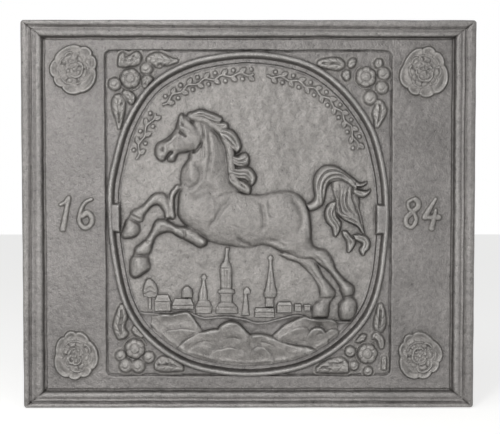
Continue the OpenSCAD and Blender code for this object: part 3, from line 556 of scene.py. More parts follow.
# lines across and up, the bed under the band and how far it keeps from the band's edges, and the uneven back,
# which is flat at its edges
plateForm = {"across": 241, "up": 206, "bed": -3.4, "bedFrom": 1.5, "bedShort": 2, "back": 0.3,
             "backLength": 48, "dent": 0.12, "dentLength": 14, "flatEdge": 1, "backFade": 10}


def fieldHeight(x, z):
    # the open face rippled as the iron set
    middle = np.clip((field["halfWidth"] - np.abs(x)) / field["fadeX"], 0, 1) \
        * np.clip((field["halfHeight"] - np.abs(z - halfHigh)) / field["fadeZ"], 0, 1)
    return middle * (field["swell"] * waves(x, z, field["swellLength"], 7)
                     + field["ripple"] * waves(x, z, field["rippleLength"], 8)
                     + field["dimple"] * waves(x, z, field["dimpleLength"], 24))


def castPlate():
    halfWide, fade, flat = plate["halfWidth"], plateForm["backFade"], plateForm["flatEdge"]
    x, z = np.meshgrid(np.linspace(-halfWide, halfWide, plateForm["across"]),
                       np.linspace(0, plate["height"], plateForm["up"]))
    # let down under the band, which is bedded in it
    fromBand = ovalDepth(x, z)
    bedded = (fromBand > plateForm["bedFrom"]) & (fromBand < oval["bandWide"] - plateForm["bedShort"])
    top = np.where(bedded, plateForm["bed"], fieldHeight(x, z))
    behind = np.clip((halfWide - flat - np.abs(x)) / fade, 0, 1) \
        * np.clip((halfHigh - flat - np.abs(z - halfHigh)) / fade, 0, 1)
    floor = -plate["thickness"] \
        + behind * plateForm["back"] * (1 + waves(x, z, plateForm["backLength"], 9)) / 2 \
        + behind * plateForm["dent"] * (1 + waves(x, z, plateForm["dentLength"], 10)) / 2
    castSheet("back_plate", x, z, top, floor, everyCell(x), "cast_iron_plate")


inner, outer = panel["halfWidth"], plate["halfWidth"] - stileWide
# the grid's lines lie close together near the edge, which is rounded, and evenly from evenFrom on
board = {"edge": 1.8, "swell": 0.55, "swellLength": 60, "fine": 0.35, "fineLength": 17, "rim": 0.35,
         "rimIn": 3, "rimWide": 2, "step": 1.9, "corner": 10, "stray": 0.8, "strayLength": 70, "dip": 1.5,
         "dipIn": 1, "dipWide": 1.7, "nearEdge": [0, 0.25, 0.6, 1.1, 1.7, 2.6], "evenFrom": 4.5, "gap": 3.2,
         "pastPanel": 1, "underBand": 3}


def gridLines(low, high):
    near, even = np.array(board["nearEdge"]), board["evenFrom"]
    count = max(2, int((high - low - 2 * even) / board["gap"]))
    return np.concatenate([low + near, np.linspace(low + even, high - even, count), (high - near)[::-1]])


def panelDepth(x, z):
    # how far a point lies inside the sunk panel, whose corners are rounded
    fromX = np.abs(x) - panel["halfWidth"] + board["corner"]
    fromZ = np.abs(z - panelMiddle) - panelHalf + board["corner"]
    return board["corner"] - np.hypot(np.maximum(fromX, 0), np.maximum(fromZ, 0)) \
        - np.minimum(np.maximum(fromX, fromZ), 0)


def boardHeight(x, z):
    # level at the sides, with a soft step down into the panel and a rounded edge against the frame
    inside = panelDepth(x, z) + board["stray"] * waves(x, z, board["strayLength"], 21)
    share = np.clip((inside + board["step"]) / (2 * board["step"]), 0, 1)
    fallen = (levels["board"] - levels["spandrel"]) * share ** 2 * (3 - 2 * share)
    dip = board["dip"] * np.exp(-((inside - board["dipIn"]) / board["dipWide"]) ** 2)
    toFrame = np.minimum(outer - np.abs(x), np.minimum(z - railWide, plate["height"] - railWide - z))
    short = np.clip(board["edge"] - toFrame, 0, board["edge"])
    lip = board["edge"] - np.sqrt(board["edge"] ** 2 - short ** 2)
    rim = board["rim"] * np.exp(-((toFrame - board["rimIn"]) / board["rimWide"]) ** 2)
    return levels["board"] - fallen - dip - lip + rim \
        + board["swell"] * waves(x, z, board["swellLength"], 4) \
        + board["fine"] * waves(x, z, board["fineLength"], 22)


def castBoard(node, x1, z1, x2, z2):
    x, z = np.meshgrid(gridLines(x1, x2), gridLines(z1, z2))
    castSheet(node, x, z, boardHeight(x, z), 0, everyCell(x), "cast_iron_board")
    x, z = everywhere["x"], everywhere["z"]
    here = (x >= x1) & (x <= x2) & (z >= z1) & (z <= z2)
    skyline[here] = np.maximum(skyline[here], boardHeight(x[here], z[here]))


castBoard("border_left", -outer, railWide, -inner, plate["height"] - railWide)
castBoard("border_right", inner, railWide, outer, plate["height"] - railWide)
castBoard("strip_top", -inner, panel["high"], inner, plate["height"] - railWide)
castBoard("strip_bottom", -inner, railWide, inner, panel["low"])

print("stage: oval")

oval = {"halfWidth": 218, "halfHeight": 252.5, "middle": 300, "cornerEase": 38, "sideTurn": 16, "endTurn": 76,
        "bandWide": 20, "bandFoot": 2.5}
# where the hand-laid band strays from its oval: degrees round from the right, mm outwards, spread in degrees
bandStrays = [(48, -4.5, 14), (125, 3, 11), (168, 2.5, 10), (222, 2, 16), (325, 4, 15)]
# the band's section: distance in from its outer edge, and height
bandSection = [(0, 4.9), (0.7, 7), (1.8, 8.7), (3.4, 9.8), (5, 10.2), (6.4, 9.8), (7.5, 8.7), (8.4, 6.8),
               (9.1, 4), (9.8, 1.2), (10.6, -0.8), (11.8, -1.7), (16, -1.8), (17.2, -1.2), (18, 0.2),
               (18.8, 1.4), (19.5, 1.3), (20.3, 0.6), (21.3, 0.2), (22.5, 0.02)]
# an uneven inner lip, the run out into the field, lumps on the outer roll, the grid's lines, and its blocks
bandForm = {"lip": 0.7, "lipLength": 36, "lipIn": 18.5, "lipWide": 1.5, "fieldFrom": 18, "fieldOver": 3,
            "lump": 0.35, "lumpLength": 60, "lumpTo": 8, "linesPerDegree": 4.4, "linesIn": 56, "floor": -4,
            "tabRound": 2.5, "tabFall": 3}


def arcValues():
    # a side arc, a corner arc and an end arc make a quarter of the oval and meet smoothly
    corner = oval["halfWidth"] - oval["cornerEase"]
    half = math.tan(math.radians(oval["sideTurn"] / 2))
    c, s = math.cos(math.radians(oval["endTurn"])), math.sin(math.radians(oval["endTurn"]))
    endMore = (oval["cornerEase"] - half * (oval["halfHeight"] - corner)) / (c - half * (1 - s))
    sideMore = (oval["halfHeight"] - corner - endMore * (1 - s)) / math.sin(math.radians(oval["sideTurn"]))
    return {"corner": corner, "side": corner + sideMore, "end": corner + endMore,
            "sideBack": corner + sideMore - oval["halfWidth"],
            "endBack": corner + endMore - oval["halfHeight"],
            "cornerX": endMore * c, "cornerZ": sideMore * math.sin(math.radians(oval["sideTurn"]))}


arcs = arcValues()


def ovalPoint(turn, inwards):
    # the point of the oval whose outward normal points along turn, moved inwards
    s, c = np.sin(np.radians(turn)), np.cos(np.radians(turn))
    side = np.abs(s) < math.sin(math.radians(oval["sideTurn"]))
    corner = np.abs(s) < math.sin(math.radians(oval["endTurn"]))
    fromX = np.where(side, -np.sign(c) * arcs["sideBack"], np.where(corner, np.sign(c) * arcs["cornerX"], 0))
    fromZ = np.where(side, 0, np.where(corner, np.sign(s) * arcs["cornerZ"], -np.sign(s) * arcs["endBack"]))
    radius = np.where(side, arcs["side"], np.where(corner, arcs["corner"], arcs["end"])) - inwards
    return fromX + radius * c, oval["middle"] + fromZ + radius * s


def wander(x, z):
    angle = np.degrees(np.arctan2(z - oval["middle"], x))
    out = 0.0 * x
    for at, far, spread in bandStrays:
        apart = (angle - at + 180) % 360 - 180
        out = out + far * np.exp(-(apart / spread) ** 2)
    return out


def ovalDepth(x, z):
    # how far a point lies inside the band's outer edge
    px, pz = np.abs(x), np.abs(z - oval["middle"])
    side = np.arctan2(pz, px + arcs["sideBack"]) < math.radians(oval["sideTurn"])
    end = np.arctan2(pz + arcs["endBack"], px) > math.radians(oval["endTurn"])
    depth = np.where(side, arcs["side"] - np.hypot(px + arcs["sideBack"], pz),
                     np.where(end, arcs["end"] - np.hypot(px, pz + arcs["endBack"]),
                              arcs["corner"] - np.hypot(px - arcs["cornerX"], pz - arcs["cornerZ"])))
    return depth + wander(x, z)


def bandHeight(inwards, x, z):
    lip = bandForm["lip"] * waves(x, z, bandForm["lipLength"], 11) \
        * np.exp(-((inwards - bandForm["lipIn"]) / bandForm["lipWide"]) ** 2)
    toField = np.clip((inwards - bandForm["fieldFrom"]) / bandForm["fieldOver"], 0, 1)
    lumps = bandForm["lump"] * waves(x, z, bandForm["lumpLength"], 12) * (inwards < bandForm["lumpTo"])
    return np.interp(inwards, *zip(*bandSection)) + lip + lumps + toField * fieldHeight(x, z)


# small blocks inside the two side bands: x range, z range, height
bandTabs = {"band_left": (-213, -200, 275, 317, 8.8), "band_right": (198.5, 213, 272, 315, 8.8)}


def tabHeight(x, z, tab):
    (x1, x2, z1, z2, height), r = tab, bandForm["tabRound"]
    edge = np.minimum(np.minimum(x - x1, x2 - x), np.minimum(z - z1, z2 - z))
    rounded = np.sqrt(np.maximum(r ** 2 - np.clip(r - edge, 0, r) ** 2, 0))
    return np.where(edge > 0, height - r + rounded, height - r + bandForm["tabFall"] * edge)


def castBand(node, start, end):
    turns = np.linspace(start, end, int((end - start) * bandForm["linesPerDegree"]) + 1)
    depths = np.linspace(0, oval["bandWide"] + oval["bandFoot"], bandForm["linesIn"])
    turn, inwards = np.meshgrid(turns, depths)
    x, z = ovalPoint(turn, inwards)
    out = wander(x, z)
    top = bandHeight(inwards, x, z)
    x, z = x + out * np.cos(np.radians(turn)), z + out * np.sin(np.radians(turn))
    if node in bandTabs:
        top = np.maximum(top, tabHeight(x, z, bandTabs[node]))
    castSheet(node, x, z, top, bandForm["floor"], everyCell(x), "cast_iron_moulding")


def castSpandrel(node, sx, sz):
    # a quarter of the panel, from a little past its edge to a little under the band
    x1, x2 = sorted((0, sx * (panel["halfWidth"] + board["pastPanel"])))
    z1, z2 = sorted((panelMiddle, panelMiddle + sz * (panelHalf + board["pastPanel"])))
    win = window(x1, z1, x2, z2, 1)
    surface = boardHeight(win["x"], win["z"])
    high = ovalDepth(win["x"], win["z"]) < board["underBand"]
    cells = high[:-1, :-1] & high[1:, :-1] & high[:-1, 1:] & high[1:, 1:]
    overlaid(win, np.where(high, surface, 0))
    castSheet(node, win["x"], win["z"], surface, 0, wholeCells(cells), "cast_iron_board")


# which way each corner lies, and each band's part of the oval in degrees round from the right
spandrelSides = {"spandrel_top_left": (-1, 1), "spandrel_top_right": (1, 1), "spandrel_bottom_left": (-1, -1),
                 "spandrel_bottom_right": (1, -1)}
bandTurns = {"band_top": (16, 164), "band_left": (164, 196), "band_bottom": (196, 344),
             "band_right": (-16, 16)}
castPlate()
for name, sides in spandrelSides.items():
    castSpandrel(name, *sides)
for name, turns in bandTurns.items():
    castBand(name, *turns)
bandDepth = ovalDepth(everywhere["x"], everywhere["z"])
inBand = (bandDepth > 0) & (bandDepth < oval["bandWide"])
bandTop = bandHeight(bandDepth, everywhere["x"], everywhere["z"])
skyline = np.where(inBand, bandTop, np.where(bandDepth >= oval["bandWide"], 0, skyline))
for tab in bandTabs.values():
    skyline = np.maximum(skyline, tabHeight(everywhere["x"], everywhere["z"], tab))

print("stage: frame moulding")

# the section: share of the way in from the outer edge, and height
frameSection = [(0, 9), (0.02, 11.6), (0.05, 13.2), (0.1, 14.4), (0.18, 14.7), (0.27, 13.8), (0.33, 12),
                (0.36, 10.8), (0.39, 11), (0.43, 12.1), (0.47, 12.7), (0.51, 12.1), (0.545, 11.5), (0.58, 12),
                (0.64, 12.8), (0.72, 12.8), (0.79, 12.2), (0.84, 11), (0.875, 9), (0.905, 6.4), (0.93, 5),
                (1, 4.9)]
grooveShare = 0.36
# how far the lengths blend at a mitre, the seam there, lumps that leave the edges calm, least and most
# heights, how the outer part wanders, and the grid's lines
mouldingForm = {"blend": 12, "seam": 1.1, "seamWide": 1.8, "seamGrows": 4, "lump": 0.4, "lumpLength": 38,
                "fine": 0.25, "fineLength": 13, "lumpsGrow": 6, "least": 1, "most": 15, "wander": 0.02,
                "wanderLength": 120, "linesIn": 64, "railLines": 361, "stileLines": 321}
shares = np.linspace(0, 1, mouldingForm["linesIn"])
# the hand-run moulding wanders: the share taken by its outer part, at the low or left end and at the other
outerPart = {"top": (0.31, 0.47), "bottom": (0.32, 0.29), "left": (0.29, 0.47), "right": (0.42, 0.44)}


def sectionHeight(share, outerShare):
    moved = np.where(share < outerShare, share * grooveShare / outerShare,
                     grooveShare + (share - outerShare) * (1 - grooveShare) / (1 - outerShare))
    return np.interp(moved, *zip(*frameSection))


def mouldingHeight(share, fromMitre, own, other, x, z):
    # the two lengths blend into each other towards the mitre, where a seam shows
    form = mouldingForm
    mine = sectionHeight(share, own)
    both = (mine + sectionHeight(share, other)) / 2
    near = np.exp(-np.clip(fromMitre, 0, None) / form["blend"])
    seam = form["seam"] * np.exp(-(fromMitre / form["seamWide"]) ** 2) \
        * np.clip(share * form["seamGrows"], 0, 1)
    lumps = form["lump"] * waves(x, z, form["lumpLength"], 14) \
        + form["fine"] * waves(x, z, form["fineLength"], 23)
    lumps = lumps * np.clip(share * form["lumpsGrow"], 0, 1) * np.clip((1 - share) * form["lumpsGrow"], 0, 1)
    return np.clip(mine + (both - mine) * near - seam + lumps, form["least"], form["most"])


def wanderingPart(name, along, x, z, seed):
    # the share taken by the outer part at each point of a length
    stray = mouldingForm["wander"] * waves(x, z, mouldingForm["wanderLength"], seed)
    return np.interp(along, [0, 1], outerPart[name]) + stray


def castRail(node, side):
    along, share = np.meshgrid(np.linspace(0, 1, mouldingForm["railLines"]), shares)
    end = plate["halfWidth"] - stileWide * share
    x = -end + 2 * end * along
    z = railWide * share if side < 0 else plate["height"] - railWide * share
    own = wanderingPart("bottom" if side < 0 else "top", along, x, z, 25)
    corner = 0 if side < 0 else 1
    other = np.where(x < 0, outerPart["left"][corner], outerPart["right"][corner])
    top = mouldingHeight(share, end - np.abs(x), own, other, x, z)
    castSheet(node, x, z, top, 0, everyCell(x), "cast_iron_moulding")


def castStile(node, side):
    along, share = np.meshgrid(np.linspace(0, 1, mouldingForm["stileLines"]), shares)
    end = halfHigh - railWide * share
    z = halfHigh - end + 2 * end * along
    x = side * (plate["halfWidth"] - stileWide * share)
    own = wanderingPart("left" if side < 0 else "right", along, x, z, 26)
    corner = 0 if side < 0 else 1
    other = np.where(z < halfHigh, outerPart["bottom"][corner], outerPart["top"][corner])
    top = mouldingHeight(share, end - np.abs(z - halfHigh), own, other, x, z)
    castSheet(node, x, z, top, 0, everyCell(x), "cast_iron_moulding")


castRail("top_rail", 1)
castRail("bottom_rail", -1)
castStile("left_stile", -1)
castStile("right_stile", 1)
x, z = everywhere["x"], everywhere["z"]
inRail = (halfHigh - np.abs(z - halfHigh)) / railWide
inStile = (plate["halfWidth"] - np.abs(x)) / stileWide
across, up = (-plate["halfWidth"], plate["halfWidth"]), (0, plate["height"])
railPart = np.where(z < halfHigh, np.interp(x, across, outerPart["bottom"]),
                    np.interp(x, across, outerPart["top"]))
stilePart = np.where(x < 0, np.interp(z, up, outerPart["left"]), np.interp(z, up, outerPart["right"]))
frameTop = np.where(inRail < inStile, sectionHeight(inRail, railPart), sectionHeight(inStile, stilePart))
skyline = np.where(np.minimum(inRail, inStile) < 1, frameTop, skyline)

print("stage: rosettes and numerals")

rosettes = {
    "rosette_top_left": {"place": (-267.5, 524), "size": (37, 39), "turn": 12, "seed": 1},
    "rosette_top_right": {"place": (270, 519.5), "size": (38, 39.5), "turn": 30, "seed": 2},
    "rosette_bottom_left": {"place": (-269, 81.5), "size": (35.5, 39), "turn": 4, "seed": 3},
    "rosette_bottom_right": {"place": (266, 81.5), "size": (35, 38.5), "turn": 20, "seed": 4},
}
# rings of petals, each over the one outside it: how many, how far out their rims reach as a share, and height
petalRings = [(7, 1.0, 5.2), (6, 0.69, 6.2), (4, 0.39, 7.0)]
# ruffle is how far the rims draw in between petals, as a share, wobble how far they are out of round, sway
# how far the petals are turned, and the rest is in mm
petalForm = {"room": (42, 44), "ruffle": 0.1, "ruffleTurn": 0.6, "wobble": 0.035, "sway": 0.28,
             "ringTurn": 1.1, "roll": 2.6, "scoop": 2.8, "scoopIn": 7.5, "scoopWide": 3.8,
             "scoopLeast": 0.15, "parting": 1.3, "partingFrom": 2, "astray": 1.6, "meeting": 1.7,
             "meetingWide": 0.9, "meetingFrom": 0.8, "heart": 0.1, "heartRise": 7.4, "heartFullness": 2.1}


def castRosette(node, rosette):
    cx, cz = rosette["place"]
    roomX, roomZ = petalForm["room"]
    left, low = math.floor(cx) - roomX, math.floor(cz) - roomZ
    win = window(left, low, left + 2 * roomX, low + 2 * roomZ, fineStep)
    wide, high = rosette["size"]
    surface = np.full(win["x"].shape, outside)
    for ring, (count, reach, rise) in enumerate(petalRings):
        odd = rosette["seed"] * 5.1 + ring * 3.7  # every ring of every rosette is irregular in its own way
        # the inner rings sit a little off the middle
        astray = petalForm["astray"] * min(ring, 1)
        across = (win["x"] - cx - astray * math.cos(odd)) / wide
        up = (win["z"] - cz - astray * math.sin(odd)) / high
        angle = np.arctan2(up, across)
        # 1 along the middle of a petal and 0 where two meet
        turned = angle - math.radians(rosette["turn"]) + petalForm["sway"] * np.sin(2 * angle + odd)
        petal = np.abs(np.cos(count / 2 * turned + petalForm["ringTurn"] * ring))
        rim = reach * (1 - petalForm["ruffle"] * (1 - petal ** petalForm["ruffleTurn"])
                       + petalForm["wobble"] * np.sin(3 * angle + odd))
        inwards = (rim - np.hypot(across, up)) * wide
        roll = np.sqrt(1 - (1 - np.clip(inwards / petalForm["roll"], 0, 1)) ** 2)
        scoop = petalForm["scoop"] \
            * np.exp(-((inwards - petalForm["scoopIn"]) / petalForm["scoopWide"]) ** 2) \
            * (petalForm["scoopLeast"] + (1 - petalForm["scoopLeast"]) * petal)
        parting = petalForm["parting"] * np.clip(1 - 3 * petal, 0, 1) \
            * np.clip(inwards / petalForm["partingFrom"], 0, 1)
        form = np.where(inwards > 0, rise * roll - scoop - parting, fall * inwards)
        # a dark line where one ring lies over the next
        meeting = petalForm["meeting"] * np.exp(-((surface - form) / petalForm["meetingWide"]) ** 2) \
            * (form > petalForm["meetingFrom"])
        surface = np.maximum(np.maximum(surface, form), outside) - meeting
    heart = domed(win, (cx, cz), petalForm["heart"] * wide, petalForm["heartRise"],
                  petalForm["heartFullness"])
    surface = np.maximum(surface, heart)
    castRelief(node, win, melted(surface, 1.0, 0.2) + levels["board"], levels["board"])


for name, rosette in rosettes.items():
    castRosette(name, rosette)

# plain numerals, as strokes in shares of their height from their middle
numerals = {
    "numeral_one": {"place": (-282.5, 303), "strokes": [
        [(-0.16, 0.28), (-0.02, 0.36), (0.1, 0.5), (0.04, 0.2), (-0.03, -0.15), (-0.1, -0.5)]]},
    "numeral_six": {"place": (-252.5, 303), "strokes": [
        [(0.2, 0.46), (0, 0.36), (-0.14, 0.12), (-0.2, -0.2), (-0.1, -0.42), (0.06, -0.46), (0.2, -0.32),
         (0.2, -0.12), (0.06, 0.02), (-0.1, -0.08)]]},
    "numeral_eight": {"place": (252.5, 303), "strokes": [
        [(0.06, 0.46), (-0.12, 0.34), (-0.08, 0.14), (0.08, 0), (0.14, -0.24), (0, -0.45), (-0.18, -0.36),
         (-0.18, -0.16), (0, 0.02), (0.2, 0.2), (0.2, 0.38), (0.06, 0.46)]]},
    "numeral_four": {"place": (282.5, 303), "strokes": [
        [(0.14, 0.48), (-0.04, 0.18), (-0.2, -0.12)], [(-0.24, -0.14), (0, -0.13), (0.24, -0.12)],
        [(0.14, 0.12), (0.08, -0.18), (0.02, -0.48)]]},
}
numeralForm = {"high": 48, "stroke": 8.2, "rise": 3.6, "flare": 0.5, "room": (18, 30)}


def castNumeral(node, numeral):
    cx, cz = numeral["place"]
    roomX, roomZ = numeralForm["room"]
    left = math.floor(cx) - roomX
    win = window(left, cz - roomZ, left + 2 * roomX, cz + roomZ, fineStep)
    surface = np.full(win["x"].shape, outside)
    for stroke in numeral["strokes"]:
        line = [(cx + p[0] * numeralForm["high"], cz + p[1] * numeralForm["high"]) for p in stroke]
        bar = rolled(win, line, numeralForm["stroke"], numeralForm["rise"], numeralForm["flare"])
        surface = np.maximum(surface, bar)
    castRelief(node, win, melted(surface, 1.0, 0.2) + levels["board"], levels["board"])


for name, numeral in numerals.items():
    castNumeral(name, numeral)

print("stage: corner flowers")

blossoms = {
    "blossom_top_left": {"place": (-182, 511), "rim": (150, 320), "turn": 10},
    "blossom_top_right": {"place": (181, 513), "rim": (120, 290), "turn": 25},
    "blossom_bottom_left": {"place": (-177, 92), "rim": (20, 190), "turn": 40},
    "blossom_bottom_right": {"place": (185, 84), "rim": (60, 230), "turn": 5},
}
# the groove's place, where partings start and the heart are shares of the radius, and the rim is outside it
blossomForm = {"radius": 16, "room": 22, "lobes": 6, "edgeIn": 0.3, "lobeOut": 0.4, "rise": 6,
               "fullness": 3.4, "groove": 1.6, "grooveAt": 0.47, "grooveWide": 1.5, "parting": 1.1,
               "partingFrom": 0.45, "partingGrows": 3, "heart": 0.36, "heartRise": 6.8, "rimOut": 2.4,
               "rimWide": 2.2, "rimRise": 2, "rimPoints": 7}


def castBlossom(node, blossom):
    form = blossomForm
    (cx, cz), radius, room = blossom["place"], form["radius"], form["room"]
    win = window(cx - room, cz - room, cx + room, cz + room, fineStep)
    distance = np.hypot(win["x"] - cx, win["z"] - cz)
    angle = np.arctan2(win["z"] - cz, win["x"] - cx)
    lobes = np.cos(form["lobes"] * angle - math.radians(blossom["turn"]) * form["lobes"])
    edge = radius - form["edgeIn"] + form["lobeOut"] * lobes
    crown = (1 - np.clip(distance / edge, 0, 1) ** form["fullness"]) ** 0.5
    surface = np.where(distance < edge, form["rise"] * crown, fall * (edge - distance))
    surface = np.maximum(surface, outside)
    groove = np.exp(-((distance - form["grooveAt"] * radius) / form["grooveWide"]) ** 2)
    parting = np.clip(-lobes, 0, 1) ** 3 \
        * np.clip((distance - form["partingFrom"] * radius) / form["partingGrows"], 0, 1)
    surface -= form["groove"] * groove + form["parting"] * parting * (distance < edge)
    surface = np.maximum(surface, domed(win, (cx, cz), form["heart"] * radius, form["heartRise"]))
    first, last = (math.radians(v) for v in blossom["rim"])
    out = radius + form["rimOut"]
    rim = [(cx + out * math.cos(t), cz + out * math.sin(t))
           for t in np.linspace(first, last, form["rimPoints"])]
    surface = np.maximum(surface, rolled(win, rim, form["rimWide"], form["rimRise"]))
    castRelief(node, win, melted(surface, 0.8) + levels["spandrel"], levels["spandrel"])


for name, blossom in blossoms.items():
    castBlossom(name, blossom)

# a leaf is its ribs [x1, z1, x2, z2], a bud is [x, z, radius]
foliage = {
    "leaves_top_left": {"box": (-222, 424, -100, 556), "leaves": [
        [[-201, 530, -200, 546], [-194, 529, -193, 550], [-184, 530, -184, 545], [-173, 531, -172, 551],
         [-165, 535, -164, 545]],
        [[-158, 538, -158, 541], [-150, 534, -149, 547], [-140, 528, -139, 550], [-129, 530, -128, 546],
         [-118, 533, -117, 541], [-108, 536, -107, 539]],
        [[-205, 486, -198, 487], [-209, 478, -191, 478], [-210, 468, -191, 467], [-207, 456, -193, 455],
         [-203, 444, -196, 443], [-201, 432, -199, 432]],
        [[-162, 496, -160, 495], [-163, 503, -154, 502], [-163, 511, -148, 510], [-158, 517, -154, 517]],
        [[-195, 490, -192, 493], [-190, 481, -181, 489], [-183, 473, -175, 481], [-180, 470, -178, 471]],
    ], "buds": [[-157, 526, 9], [-206, 502, 9.5]]},
    "leaves_top_right": {"box": (96, 424, 222, 552), "leaves": [
        [[104, 532, 105, 537], [115, 528, 117, 540], [128, 525, 130, 542], [140, 524, 141, 540],
         [149, 529, 149, 533]],
        [[151, 531, 152, 537], [157, 527, 159, 541], [165, 532, 166, 539]],
        [[143, 515, 144, 520], [150, 508, 149, 523], [157, 512, 156, 522]],
        [[195, 527, 199, 525], [194, 534, 206, 531], [198, 541, 204, 541]],
        [[198, 479, 202, 479], [194, 468, 210, 469], [191, 458, 212, 458], [194, 447, 206, 446],
         [195, 434, 199, 434]],
    ], "buds": [[208, 518, 9.5], [205, 497, 9.5], [187, 481, 10]]},
    "leaves_bottom_left": {"box": (-222, 50, -92, 170), "leaves": [
        [[-198, 163, -195, 162], [-204, 150, -191, 151], [-208, 138, -189, 140], [-210, 128, -193, 127],
         [-207, 116, -188, 116], [-202, 106, -194, 108]],
        [[-147, 62, -147, 70], [-138, 58, -138, 79], [-126, 57, -126, 79], [-113, 58, -113, 73],
         [-101, 59, -101, 65]],
        [[-182, 123, -180, 128], [-176, 114, -170, 124], [-165, 109, -161, 114]],
    ], "buds": [[-199, 82, 8], [-191, 66, 10], [-172, 65, 10], [-155, 79, 9]]},
    "leaves_bottom_right": {"box": (96, 50, 222, 172), "leaves": [
        [[203, 164, 207, 164], [199, 150, 211, 150], [195, 136, 213, 136], [195, 125, 211, 125],
         [200, 118, 206, 117]],
        [[104, 56, 104, 61], [118, 55, 117, 71], [132, 55, 132, 77], [146, 55, 146, 78], [156, 56, 156, 69]],
        [[165, 103, 168, 107], [172, 103, 175, 114], [180, 105, 184, 113]],
        [[191, 107, 191, 113], [197, 108, 200, 118], [202, 99, 210, 106], [205, 91, 209, 91]],
        [[208, 58, 214, 58], [208, 70, 214, 70], [209, 81, 213, 81]],
    ], "buds": [[158, 88, 8], [186, 57, 7], [164, 66, 7]]},
}
# deeper pockets and folds seen in the leaves: width, depth, line
leafFolds = {
    "leaves_top_left": [
        (1.6, 2.6, [(-141, 527), (-136, 532), (-131, 529), (-126, 533)]),
        (1.2, 1.6, [(-190, 533), (-188, 542), (-190, 548)]),
        (1.2, 1.6, [(-178, 534), (-177, 543), (-175, 548)]),
        (1.4, 1.8, [(-193, 476), (-197, 466), (-199, 452), (-200, 440)]),
    ],
    "leaves_top_right": [
        (1.3, 1.8, [(110, 535), (122, 532), (133, 534), (143, 532)]),
        (1.3, 1.8, [(200, 474), (203, 462), (201, 448), (198, 438)]),
    ],
    "leaves_bottom_left": [
        (1.5, 2.2, [(-198, 155), (-196, 142), (-199, 128), (-197, 114)]),
        (1.3, 2.0, [(-146, 71), (-136, 66), (-124, 69), (-112, 65)]),
        (1.3, 1.4, [(-136, 78), (-133, 70)]), (1.3, 1.4, [(-124, 77), (-121, 69)]),
    ],
    "leaves_bottom_right": [
        (1.4, 2.0, [(205, 158), (204, 144), (203, 132), (203, 122)]),
        (1.6, 2.6, [(126, 71), (134, 69), (143, 70), (150, 74)]),
        (1.3, 1.8, [(110, 58), (116, 64), (123, 62), (131, 58)]),
    ],
}


def fuller(rib, extra):
    # a form's edges stand a little outside the line of its crease
    x, z = (rib[0] + rib[2]) / 2, (rib[1] + rib[3]) / 2
    size = max(math.hypot(rib[2] - rib[0], rib[3] - rib[1]), 0.1)
    more = (size + extra) / size
    return [x + (rib[0] - x) * more, z + (rib[1] - z) * more,
            x + (rib[2] - x) * more, z + (rib[3] - z) * more]


# veins and folds are a width and a depth, a vein's tip lies part of the way to the rib before, and its sides
# are shares of the way across
leafForm = {"fuller": 3.2, "leastShare": 0.3, "fullWidth": 18, "rise": 7.6, "midrib": (1.3, 1.5),
            "vein": (1.0, 1.2), "veinBack": 0.6, "veinSides": (0.1, 0.9), "join": 2.5, "budSwell": 1.12,
            "budRise": 6.8, "budFold": (1.2, 1.4), "budJoin": 1.5, "gap": 6, "gapDepth": 0.9,
            "foldWider": 0.4, "foldDeeper": 1.25, "melt": 1.1, "meltBed": 0.6, "underBand": 2}


def castFoliage(node, bed):
    win = window(*bed["box"], fineStep)
    surface = np.full(win["x"].shape, outside)
    for leaf in bed["leaves"]:
        ribs = []
        for rib in leaf:
            wide = math.hypot(rib[2] - rib[0], rib[3] - rib[1])
            share = min(1, leafForm["leastShare"] + wide / leafForm["fullWidth"])
            ribs.append(fuller(rib, leafForm["fuller"]) + [share])
        shape = carved(win, ribs, leafForm["rise"], 2.0, 3.0)
        scored(win, shape, midrib(ribs), *leafForm["midrib"])
        back, stay = leafForm["veinBack"], 1 - leafForm["veinBack"]
        for k in range(1, len(ribs) - 1):
            # side veins run back from the midrib to the edge
            here, ahead = ribs[k], ribs[k - 1]
            middle = ((here[0] + here[2]) / 2, (here[1] + here[3]) / 2)
            for share in leafForm["veinSides"]:
                tip = tuple(ahead[i] * back + here[i] * stay + (ahead[i + 2] - ahead[i]) * share * back
                            + (here[i + 2] - here[i]) * share * stay for i in (0, 1))
                scored(win, shape, [middle, tip], *leafForm["vein"], 0.5)
        surface = flowing(surface, shape, leafForm["join"])
    for x, z, radius in bed["buds"]:
        bud = domed(win, (x, z), radius * leafForm["budSwell"], leafForm["budRise"], 2.0)
        fold = [(x - 0.5 * radius, z - 0.3 * radius), (x, z - 0.5 * radius), (x + 0.5 * radius, z)]
        scored(win, bud, fold, *leafForm["budFold"], 0.6)
        surface = flowing(surface, bud, leafForm["budJoin"])
    # the sand filled the narrow gaps, so the forms join low down
    surface = np.maximum(surface, softened(np.maximum(surface, 0), leafForm["gap"]) - leafForm["gapDepth"])
    for width, depth, line in leafFolds[node]:
        scored(win, surface, line, width + leafForm["foldWider"], leafForm["foldDeeper"] * depth)
    shown = ovalDepth(win["x"], win["z"]) <= leafForm["underBand"]
    surface = np.where(shown, melted(surface, leafForm["melt"], leafForm["meltBed"]), 0)
    castRelief(node, win, surface + levels["spandrel"], levels["spandrel"])


for name, bed in foliage.items():
    castFoliage(name, bed)

print("stage: leafy bands")

# berryAt and leafOut are shares of the band's height, and the stem and the leaves are in mm
vine = {"inFromBand": 5, "high": 20, "pitch": 14, "rise": 3.5, "stem": 4.2, "stemRise": 0.85, "wave": 0.12,
        "leafOut": 0.5, "leafOn": 1.4, "midrib": (0.8, 1.0), "berry": 3.4, "berryAt": 0.36, "berryOn": 0.6,
        "halfRoom": 12, "margin": 4}
